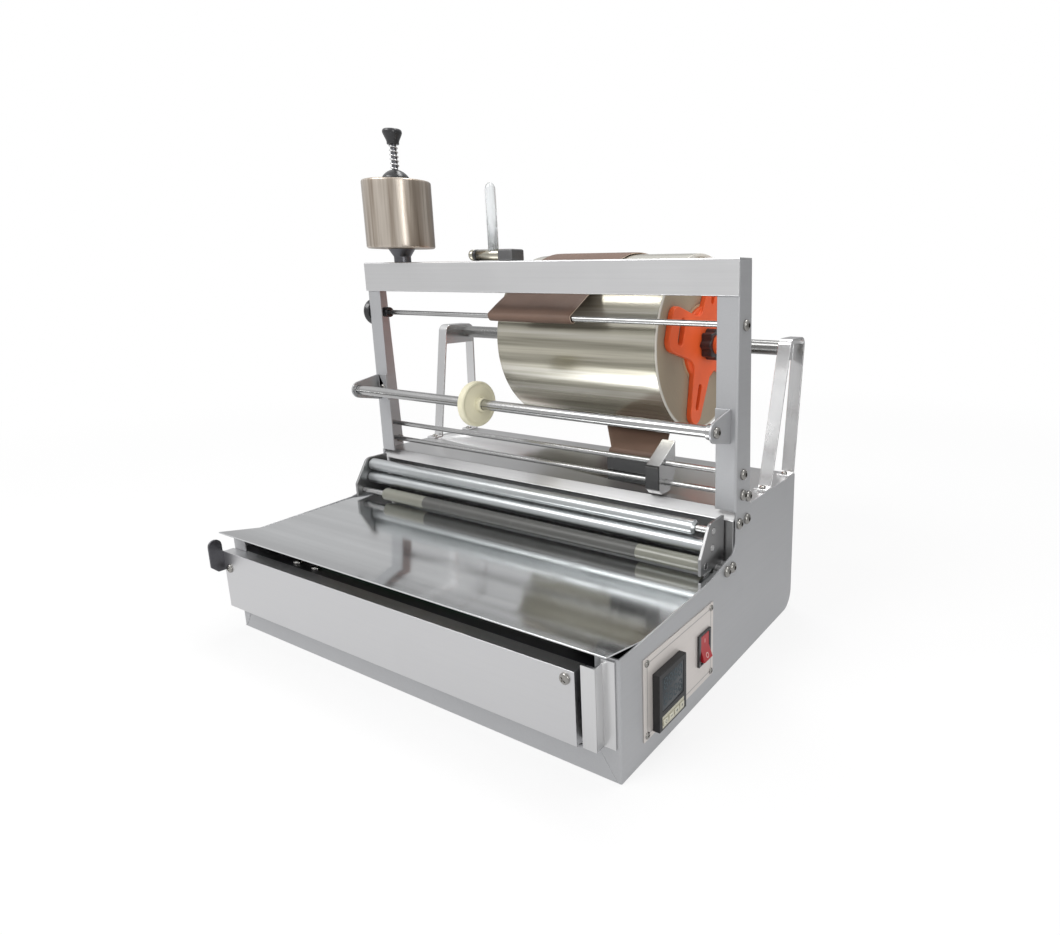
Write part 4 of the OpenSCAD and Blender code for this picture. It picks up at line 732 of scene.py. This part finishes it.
def rays(g):      # whether a ray comes from the camera, a glossy surface or a clear one
    light = g.add("ShaderNodeLightPath")
    kinds = ("Is Camera Ray", "Is Glossy Ray", "Is Transmission Ray")
    return [Wire(g, light.socket.node.outputs[kind]) for kind in kinds]


def setFloor():
    bpy.ops.mesh.primitive_plane_add(size=studio["floorSize"], location=(0, 0, -studio["floorDrop"]))
    floor = bpy.context.object
    floor.name = "studioFloor"
    g = Graph(bpy.data.materials.new("paleFloor"))
    camera, glossy, through = rays(g)
    x, y, z = g.split(g.coords())
    fade = g.smooth((x * x + y * y) ** 0.5, *studio["fade"])
    matte = g.add("ShaderNodeBsdfDiffuse", None, {"Color": (studio["floorTone"],) * 3})
    far = g.smooth(x * 0.9 + y * 0.5, -0.4, 1.4)
    sheen = g.mix(far, studio["nearSheen"], studio["farSheen"])
    seen = g.mix(camera.op("MAXIMUM", camera, through), sheen, white)
    glow = g.add("ShaderNodeEmission", None, {"Color": seen, "Strength": 1.0})
    seenShare = camera * (studio["floorGlow"] + fade * (1 - studio["floorGlow"]))
    share = seenShare.op("MAXIMUM", seenShare, (glossy.op("MAXIMUM", glossy, through)) * studio["mirrorGlow"])
    both = g.add("ShaderNodeMixShader", None, {0: share, 1: matte, 2: glow})
    g.add("ShaderNodeOutputMaterial", None, {0: both})
    floor.data.materials.append(g.owner)


def setWorld():
    world = bpy.data.worlds.new("paleStudio")
    bpy.context.scene.world = world
    g = Graph(world)
    camera, glossy, through = rays(g)
    x, y, z = g.split(g.add("ShaderNodeTexCoord", output=0))
    lift = g.smooth(z, -0.05, 0.75)
    front = g.smooth(x * -0.35 + y * -0.8, -0.8, 0.8)
    room = (studio["glossLow"] + lift * studio["glossLift"] + front * studio["glossFront"]).clipped()
    gloss = g.join(room, room, room * 1.01)
    plain = g.mix(glossy, (studio["fill"],) * 3, gloss)
    shown = g.mix(camera.op("MAXIMUM", camera, through), plain, white)
    back = g.add("ShaderNodeBackground", None, {"Color": shown, "Strength": 1.0})
    g.add("ShaderNodeOutputWorld", None, {0: back})


setStudio()
setFloor()
setWorld()
print("studio set")


# Folded sheet metal

sidePanel = {"thick": 1.5, "fold": 2.6, "rim": 0.3, "flange": 205, "mitre": 222, "skirt": 25, "depth": 310,
             "corner": 18, "table": 93, "leg": (173, 142, 348.5), "legBack": (201, 195), "notch": (9, 114),
             "shoulder": ((127, 97), (28, 93))}
plateCuts = [(40.2, 73.8, 20.2, 60.8), (105.7, 122.3, 34.3, 57.7)]      # for the controller and the switch
near = 0.3      # how close an edge lies to the bend that it belongs to, in mm


def sideOutline():
    leg, foot, top = sidePanel["leg"]
    depth, corner = sidePanel["depth"], sidePanel["corner"]
    legFoot, legTop = sidePanel["legBack"]
    bend, level = sidePanel["notch"]
    return [(0, 0), *roundEdge((depth - corner, corner), corner, -90, 0, 12), (depth, foot), (legFoot, foot),
            (legTop, top), (leg, top), (leg, foot), *roundEdge((leg - bend, level), bend, 0, -90, 8),
            *sidePanel["shoulder"], (0, sidePanel["table"])]


def foldedPanel(node, side, openings):
    shape = bmesh.new()
    reach, flange, table = side * sideReach, side * sidePanel["flange"], sidePanel["table"]
    leg, foot, top = sidePanel["leg"]

    def closedLoop(points):
        corners = [shape.verts.new(place(reach, *point)) for point in points]
        return corners, [shape.edges.new(pair) for pair in zip(corners, corners[1:] + corners[:1])]

    outline = sideOutline()
    corners, edges = closedLoop(outline)
    for back0, back1, low, high in openings:
        edges += closedLoop([(back0, low), (back1, low), (back1, high), (back0, high)])[1]
    bmesh.ops.triangle_fill(shape, use_beauty=True, edges=edges, normal=(side, 0, 0))
    corner = dict(zip(outline, corners))
    postEdge = ((flange, table), (flange, sidePanel["skirt"]), (side * sidePanel["mitre"], 0))
    post = [shape.verts.new(place(x, 0, height)) for x, height in postEdge]
    shape.faces.new([corner[0, 0], corner[0, table]] + post)
    legEdge = [shape.verts.new(place(flange, leg, height)) for height in (top, foot)]
    shape.faces.new([corner[leg, foot], corner[leg, top]] + legEdge)
    for face in shape.faces:
        face.normal_update()
        outward = Vector((side, 0, 0)) if abs(face.normal.x) > 0.5 else Vector((0, -1, 0))
        if face.normal.dot(outward) < 0:
            face.normal_flip()
    sheet = fromShape(camel(node), shape)
    wall = sheet.modifiers.new("thickness", "SOLIDIFY")
    wall.thickness, wall.offset, wall.use_even_offset = sidePanel["thick"] * mm, -1, True
    sheet = settle(sheet)
    shape = bmesh.new()
    shape.from_mesh(sheet.data)
    bpy.data.objects.remove(sheet)

    def folded(point, edge):
        upright = abs((edge.verts[0].co - edge.verts[1].co).normalized().z) > 0.9
        atSide = abs(abs(point.x) / mm - sideReach) < near
        atLeg = abs(backOf(point) - leg) < near and point.z > foot * mm
        return upright and atSide and (backOf(point) < near or atLeg)

    return seat(edged(shape, camel(node), sidePanel["rim"], 5, sidePanel["fold"], folded), node)


foldedPanel("right_side_panel", 1, plateCuts)
foldedPanel("left_side_panel", -1, [])

header = {"front": 171.5, "rim": 0.35, "fold": 1.3}


def headerFold(point, edge):      # the lower front return and the upper front bend
    level = abs((edge.verts[0].co - edge.verts[1].co).normalized().x) > 0.9
    return level and abs(backOf(point) - header["front"]) < near


dressed("header_beam", header["rim"], 4, header["fold"], headerFold, finishes["headerSteel"])
sheetEdges = {"base_tray": 0.35, "rear_deck": 0.4, "left_rod_arm": 0.4, "right_rod_arm": 0.4,
              "inner_crossbar": 0.3, "left_end_tab": 0.5, "heater_plate": 0.4, "heater_insulation": 0.8,
              "work_table": 0.3, "front_cover": 0.4, "left_roll_bracket": 0.4, "right_roll_bracket": 0.4,
              "post_block": 1.5, "control_plate": 0.25}
for node, bevel in sheetEdges.items():
    dressed(node, bevel)
endBracket = {"endFace": (200.6, 212.4, -9.95, -8.5, 26.1, 87.9),
              "endWeb": (211, 212.4, -9.3, -0.1, 26.1, 88.2),
              "endFlange": (211, 221.9, -1.45, -0.05, 26.1, 91.3)}      # x, back and height, from and to
for name, span in endBracket.items():
    panel = boxPiece(name, *span, bevel=0.35)
    seat(panel, "right_end_bracket", finishes["endSteel"], replace=name == "endFace")
dressed("strap_weight", 0.35, finish=finishes["weightSteel"])
dressed("roller_cheeks", 0.5, finish=finishes["cheekSteel"])
print("sheet metal dressed")


# Rods, rollers and turned pieces

turnedEdges = {"upper_guide_rod": 0.5, "tail_guide_rods": 0.5, "front_rod": 0.6, "upper_roller": 0.3,
               "middle_roller": 0.3, "lower_roller": 0.3, "roller_sleeves": 0.2, "roller_axles": 0.4,
               "guide_wheel": 0.5, "rod_collar": 0.5, "rod_knob": 0.5, "tape_spindle": 0.4, "film_core": 0.4,
               "tape_core": 0.4}
for node, bevel in turnedEdges.items():
    dressed(node, bevel)
dressed("roll_shaft", 0.8, finish=finishes["shaftSteel"])
tapeTop = {"cone": 432.6, "knob": 468.1}      # heights of their lower faces
upperCone = [(0, -3), (9.7, -3), (9.7, 0), (13.1, 0), (13.5, 0.4), (13.5, 2.8), (13.1, 3.6), (12, 5.2),
             (10.2, 7.1), (7.9, 8.9), (5.6, 10.1), (4.5, 10.5), (0, 10.5)]
topKnob = [(0, 0), (5.6, 0), (6, 0.4), (6, 2.6), (6.6, 4.4), (9, 9.8), (9.5, 11.2), (9.5, 12.6), (9.1, 14),
           (8, 14.8), (6.6, 15), (0, 15)]
seat(revolved("spindleCone", upperCone, onSpindle(tapeTop["cone"]), (0, 0, 1), 72), "spindle_cone")
seat(revolved("spindleKnob", topKnob, onSpindle(tapeTop["knob"]), (0, 0, 1), 72), "spindle_knob")
guidePost = {"x": -45, "back": 184, "axisZ": 356, "barrel": 5.4, "left": -76, "right": -33, "pin": 2.5,
             "pinEnd": -19, "groove": (7.3, 10.7), "post": 5, "top": 423,
             "tip": ((1, 6.5), (0.97, 5.2), (0.86, 3.2), (0.66, 1.5), (0.4, 0.5), (0, 0))}


def buildGuidePost():      # lying barrel with a black ring, clear post standing on it
    s = guidePost
    length, r, pinLength = s["right"] - s["left"], s["barrel"], s["pinEnd"] - s["left"]
    g0, g1 = s["groove"]
    dome = [math.radians(a) for a in range(15, 91, 15)]
    outline = [(0, 0)] + [(r * math.sin(a), 3 * (1 - math.cos(a))) for a in dome]
    outline += [(r, g0 - 0.3), (r - 0.5, g0), (r - 0.5, g1), (r, g1 + 0.3), (r, length - 0.6),
                (r - 0.6, length), (s["pin"], length), (s["pin"], pinLength), (0, pinLength)]
    start = place(s["left"], s["back"], s["axisZ"])
    seat(revolved("postBarrel", outline, start, (1, 0, 0), 48), "guide_post", finishes["postNickel"])
    ring = [(r - 0.6, g0), (r + 0.1, g0), (r + 0.1, g1), (r - 0.6, g1)]
    band = closedRevolved("postRing", ring, start, (1, 0, 0), 48)
    seat(band, "guide_post", finishes["black_plastic"], replace=False)
    p, tall = s["post"], s["top"] - s["axisZ"]
    post = [(0, r * 0.7), (p, r * 0.7)] + [(p * share, tall - drop) for share, drop in s["tip"]]
    clear = revolved("clearPost", post, place(s["x"], s["back"], s["axisZ"]), (0, 0, 1), 48)
    seat(clear, "guide_post", finishes["clear_plastic"], replace=False)


buildGuidePost()
print("turned pieces dressed")


# Plastic pieces

dressed("temperature_controller", 0.3, segments=3, finish=finishes["keypad"])
plasticEdges = {"left_chuck": 0.9, "right_chuck": 0.9, "left_hand_nut": 0.8, "right_hand_nut": 0.8,
                "controller_key_1": 0.35, "controller_key_2": 0.35, "controller_key_3": 0.35,
                "controller_key_4": 0.35, "switch_bezel": 0.4, "switch_rocker": 0.4, "cable_gland": 0.5,
                "terminal_block": 0.5}
for node, bevel in plasticEdges.items():
    dressed(node, bevel, segments=3)
print("plastic pieces dressed")


# Film roll and tape spool

filmRoll = {"length": 196, "outer": 90, "inner": 41.1, "edge": 1.0, "layers": 24, "step": 0.18}
tapeSpool = {"length": 68, "outer": 34, "inner": 14.1, "edge": 2.2, "layers": 10, "step": 0.12}


def woundRoll(name, s, origin, axis):      # layers wander a little on the end faces, as a wound web does
    half = s["length"] / 2
    span = (s["outer"] - s["edge"] - s["inner"]) / s["layers"]
    face = []
    for i in range(s["layers"] + 1):
        dip = s["step"] * (0.5 + 0.5 * math.sin(i * 2.4) * math.cos(i * 0.7))
        face.append((s["inner"] + span * i, half - dip))
        if 0 < i < s["layers"]:
            face.append((s["inner"] + span * (i + 0.55), half - dip * 0.4))
    top = face + roundEdge((s["outer"] - s["edge"], half - s["edge"]), s["edge"], 80, 0, 5)
    barrel = [(s["outer"], half - s["edge"] - (s["length"] - 2 * s["edge"]) * k / 12) for k in range(1, 12)]
    bottom = [(r, -a) for r, a in reversed(top)]
    return closedRevolved(name, top + barrel + bottom, origin, axis, 144)


seat(woundRoll("filmRoll", filmRoll, place(*rollCentre), (1, 0, 0)), "film_roll")
seat(woundRoll("tapeSpool", tapeSpool, onSpindle(tapeMiddle), (0, 0, 1)), "tape_spool")
print("film roll and tape spool wound")


# Brake strap: one leather band from the upper rod round the roll to its weight

strap = {"thickness": 1.9, "clear": 1.35, "rod": 2.6, "wide": 104, "tail": 60, "leftEdge": -55,
         "tailEdge": 82, "hang": 190.7, "bend": 4, "hangTop": 172.6, "hangLength": 24.5, "inset": 0.35,
         "columns": 14}
strapSteps = {"rod": 22, "free": 12, "roll": 90, "tail": 8}


def strapPath():      # middle line as ((back, up), share of the turn), 2 past the roll
    rod, axis = Vector(upperRodAt), Vector(rollCentre[1:])
    small, large = strap["rod"] + strap["clear"], filmRoll["outer"] + strap["clear"]
    a0 = math.degrees(math.atan2(*(axis - rod).yx) + math.acos((small - large) / (axis - rod).length))
    path = [(p, 0.0) for p in roundEdge(rod, small, 340, a0, strapSteps["rod"])]
    turn = roundEdge(axis, large, a0, -90, strapSteps["roll"])
    start, end = Vector(path[-1][0]), Vector(turn[0])
    path += [(tuple(start.lerp(end, k / strapSteps["free"])), 0.0) for k in range(1, strapSteps["free"])]
    path += [(p, i / strapSteps["roll"]) for i, p in enumerate(turn)]
    corner = (strap["hang"] + strap["bend"], axis.y - large - strap["bend"])
    path += [(p, 2.0) for p in roundEdge(corner, strap["bend"], 90, 180, strapSteps["tail"])]
    for k in range(1, strapSteps["tail"] + 1):
        path.append(((strap["hang"], strap["hangTop"] - strap["hangLength"] * k / strapSteps["tail"]), 2.0))
    return path


def strapRing(middle, out, left, width, crease):      # one section: (across, point, 1 where it is a cut edge)
    count, half = strap["columns"], strap["thickness"] / 2
    ring = []
    for side in (1, -1):
        for k in range(count + 1) if side == 1 else range(count, -1, -1):
            tuck = 0.55 if k == 0 else -0.55 if k == count else 0
            across = left + strap["inset"] + (width - 2 * strap["inset"]) * k / count + tuck
            lift = side * (half - (0.12 if k in (0, count) else 0)) + crease(k / count)
            ring.append((across, middle + out * lift, 0.0))
        ring.append((left + (width if side == 1 else 0), middle, 1.0))
    return ring


def buildStrap():
    path = strapPath()
    freeFrom, freeTo = strapSteps["rod"], strapSteps["rod"] + strapSteps["free"]
    points, faces, edges = [], [], []
    for i, (spot, share) in enumerate(path):
        before, after = Vector(path[max(i - 1, 0)][0]), Vector(path[min(i + 1, len(path) - 1)][0])
        along = (after - before).normalized()
        out = Vector((-along.y, along.x))
        skew = 1 if share > 1 else 0.4 * min(max((share * 30 - 5) / 25, 0), 1)
        free = 0      # creases on the free run behind the upper rod
        if freeFrom < i < freeTo:
            free = math.sin(math.pi * (i - freeFrom) / strapSteps["free"])
        wander = 0.35 * math.sin(i * 0.21) + 0.2 * math.sin(i * 0.53)
        left = strap["leftEdge"] + skew * (strap["tailEdge"] - strap["leftEdge"]) + wander
        width = strap["wide"] + skew * (strap["tail"] - strap["wide"])

        def crease(u):
            return free * (0.5 * math.sin(u * 9 + i * 0.35) + 0.3 * math.sin(u * 21 - i * 0.5))

        for across, middle, tone in strapRing(Vector(spot), out, left, width, crease):
            points.append(place(across, middle.x, middle.y))
            edges.append(tone)
    rows, ringSize = len(path), len(points) // len(path)
    for i in range(rows - 1):
        low, high = i * ringSize, (i + 1) * ringSize
        for k in range(ringSize):
            j = (k + 1) % ringSize
            faces.append((low + k, low + j, high + j, high + k))
    faces.append(tuple(range(ringSize))[::-1])
    faces.append(tuple((rows - 1) * ringSize + k for k in range(ringSize)))
    made = meshObject("brakeStrap", points, faces)
    tone = made.data.attributes.new("cutEdge", "FLOAT", "POINT")
    tone.data.foreach_set("value", edges)
    faceOutwards(made)
    keepCrisp(made, 60)
    seat(made, "brake_strap")


buildStrap()
print("strap laid")


# Screws and bolts

heads = fastenerTree()
crossHead = screwHead("crossHead", "cross")
socketHead = screwHead("socketHead", "hexagon")
nutHead = hexNut("nutHead")
headSizes = {"bolt": (4.8, 3.6), "foot": (3.2, 2.2), "nut": (4.6, 2.4), "spindleNut": (7, 5),
             "cover": (4.2, 2.2), "plate": (2.6, 1.4), "heater": (4.4, 3)}      # radius, height
toFront, toRight, toLeft = Vector((0, -1, 0)), Vector((1, 0, 0)), Vector((-1, 0, 0))
upward, downward = Vector((0, 0, 1)), Vector((0, 0, -1))
sideBolts = ((185, 172), (185, 154), (196, 150), (179, 130), (194, 130), (156.5, 95), (166.5, 95))
sideNuts = ((196, 150, 1.5), (179, 130, 3), (194, 130, 3))      # back, up, thickness of the sheet


def frameFasteners():
    bolt, foot, nut = headSizes["bolt"], headSizes["foot"], headSizes["nut"]
    bolts, screws, nuts = [], [], []
    for side in (1, -1):
        out = Vector((side, 0, 0))
        bolts += [(place(side * sideReach, *spot), out, *bolt) for spot in sideBolts]
        bolts.append((place(side * 214, *rollCentre[1:]), out, *bolt))      # ends of the roll's shaft
        screws += [(place(side * 218.5, back, 144), upward, *foot) for back in (243.5, 298)]
        screws.append((place(side * 211, 171, 215), toFront, *foot))      # front rod's arms
        nuts += [(place(side * (sideReach - sheet), back, up), -out, *nut) for back, up, sheet in sideNuts]
    bolts.append((place(sideReach, *upperRodAt), toRight, *bolt))
    bolts.append((place(219, 146, 215), toRight, *bolt))      # front rod's end
    bolts.append((place(-19, 184, 348.5), downward, *bolt))      # under the post's block
    nuts.append((onSpindle(343.5), upward, *headSizes["spindleNut"]))
    return bolts, screws, nuts


bolts, screws, nuts = frameFasteners()
fasteners("frameBolts", socketHead, bolts, "frame_bolts", 3)
fasteners("footScrews", crossHead, screws, "frame_bolts", 5, replace=False)
fasteners("frameNuts", nutHead, nuts, "frame_bolts", 7, replace=False)
coverSpots = [(place(-217, -10, 65), toFront, *headSizes["cover"]),
              (place(187.5, -10, 74), toFront, *headSizes["cover"]),
              (place(-227, 7, 70), toLeft, *headSizes["foot"])]
fasteners("coverScrews", crossHead, coverSpots, "cover_screws", 11)
plateSpots = [(place(226, back, up), toRight, *headSizes["plate"]) for back in (31, 127) for up in (19, 75)]
fasteners("plateScrews", crossHead, plateSpots, "plate_screws", 13)
heaterSpots = [(place(share * sideReach, 11, 79.5), upward, *headSizes["heater"]) for share in (-0.62, -0.5)]
fasteners("heaterScrews", socketHead, heaterSpots, "heater_screws", 17)
for head in (crossHead, socketHead, nutHead):
    bpy.data.objects.remove(head)
print("fasteners placed")


# Coil spring under the knob

spring = {"turns": 5.5, "radius": 3.65, "height": 25, "wire": 0.75, "low": 443.1, "pressed": 0.68}


def coilSpring():
    s = spring
    start = meshObject("spindleSpring", [(0, 0, 0)], [])
    coil = coilTree().use(start, {"Turns": s["turns"], "Coil Radius": s["radius"] * mm,
                                  "Height": (s["height"] - 2 * s["wire"]) * mm, "Wire Radius": s["wire"] * mm,
                                  "Material": finishes["spring_wire"]})
    coil.data.transform(Matrix.Translation(onSpindle(s["low"] + s["wire"])))
    seat(coil, "spindle_spring")
    top = tuple(onSpindle(s["low"] + s["height"]))
    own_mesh(coil)


coilSpring()
print("spring coiled")


# Heater wires behind the cover

wireRun = {"radius": 1.1, "gap": 3, "height": 80.9, "back": 20.25, "start": -139.5, "fall": 40,
           "fallPitch": 16, "rear": 26, "block": (57, 60), "blockHeight": 8}
wireTints = {"wireRed": (0.55, 0.03, 0.02), "wireYellow": (0.6, 0.45, 0.03), "wireGreen": (0.03, 0.22, 0.1)}


def softLine(points, steps=6):      # a smooth run through its points
    line = []
    for i in range(len(points) - 1):
        a, b, c, d = points[max(i - 1, 0)], points[i], points[i + 1], points[min(i + 2, len(points) - 1)]
        for k in range(steps):
            t = k / steps
            bend = (2 * a - 5 * b + 4 * c - d) * t * t + (3 * b - a - 3 * c + d) * t ** 3
            line.append(0.5 * ((2 * b) + (c - a) * t + bend))
    return line + [points[-1]]


def wireRoute(i):      # from a heater screw along the cross bar, down and back to the terminal block
    s = wireRun
    gap, z, back = s["gap"], s["height"], s["back"] + (1 - i) * s["gap"]
    x0, x1 = s["start"] + (i + 2) * 2 * gap, s["fall"] + (i + 0.5) * s["fallPitch"]
    rear = s["rear"] + (i + 1) * gap
    blockFront, blockBack = s["block"]
    return [(x0, back, z), (x0 + 30, back, z), (0, back, z + 1), (x1 - 10, back, z), (x1, back + gap, z),
            (x1, rear - 1, z - 1), (x1, rear, z - 3), (x1, rear, z - 20), (x1, rear + gap, 31),
            (x1, (rear + blockBack) / 2, 11), (x1, blockFront, s["blockHeight"]),
            (x1, blockBack, s["blockHeight"])]


def buildWires():
    for i, (name, tint) in enumerate(wireTints.items()):
        line = softLine([place(*p) for p in wireRoute(i)])
        curve = bpy.data.curves.new(name, "CURVE")
        curve.dimensions, curve.use_fill_caps = "3D", True
        curve.bevel_depth, curve.bevel_resolution = wireRun["radius"] * mm, 3
        run = curve.splines.new("POLY")
        run.points.add(len(line) - 1)
        for point, spot in zip(run.points, line):
            point.co = (*spot, 1)
        jacket = moulded(name + "Jacket", {"tint": tint, "rough": 0.4})
        seat(settle(linked(name, curve)), "heater_wires", jacket, replace=i == 0)


buildWires()
print("wires laid")


# Controller window and its unlit figures

def windowFinish():
    g = Graph(bpy.data.materials.new("displayWindow"))
    spot = g.coords()
    cloud = g.noise(spot, 60, 3)
    mottle = cloud * 0.6 + g.cells(spot, 900) * 0.4
    tint = g.mix(mottle.clipped(), (0.006, 0.01, 0.014), (0.016, 0.026, 0.034))
    return g.shader({"Base Color": tint, "Roughness": 0.3 + cloud * 0.06, "Coat Weight": 0.15,
                     "Coat Roughness": 0.1})


window = boxPiece("displayWindow", 231.15, 231.75, 42.2, 71.8, 33.2, 58.8, 0.15)
seat(window, "temperature_controller", windowFinish(), replace=False)
figures = {"face": 231.85, "deep": 0.3, "width": 5.2, "height": 9.4, "stroke": 1.0, "gap": 0.25,
           "rows": (48.5, 36.2), "starts": (44.4, 51.2, 58.0, 64.8), "tint": (0.014, 0.036, 0.046)}


def sevenSegments(y, z):      # seven bars of one unlit figure, as rectangles (back0, back1, low, high)
    w, h, stroke, gap = (figures[key] for key in ("width", "height", "stroke", "gap"))
    bars = []
    for level in (0, 0.5, 1):
        low = z + level * (h - stroke)
        bars.append((y + stroke + gap, y + w - stroke - gap, low, low + stroke))
    for side in (0, w - stroke):
        for low in (z + stroke + gap, z + (h + stroke) / 2 + gap):
            bars.append((y + side, y + side + stroke, low, low + (h - 3 * stroke) / 2 - 2 * gap))
    return bars


def buildFigures():
    x = figures["face"]
    points, faces = [], []
    for bars in (sevenSegments(y, z) for z in figures["rows"] for y in figures["starts"]):
        for back0, back1, low, high in bars:
            k = len(points)
            corners = ((back0, low), (back1, low), (back1, high), (back0, high))
            points += [place(x, *corner) for corner in corners]
            points += [p - Vector((figures["deep"], 0, 0)) * mm for p in points[k:k + 4]]
            faces += [(k, k + 1, k + 2, k + 3), (k + 7, k + 6, k + 5, k + 4)]
            faces += [(k + i, k + 4 + i, k + 4 + (i + 1) % 4, k + (i + 1) % 4) for i in range(4)]
    paint = moulded("displayFiguresPaint", {"tint": figures["tint"], "rough": 0.4})
    marks = meshObject("displayFigures", points, faces, smooth=False)
    seat(marks, "temperature_controller", paint, replace=False)


buildFigures()
print("controller finished")
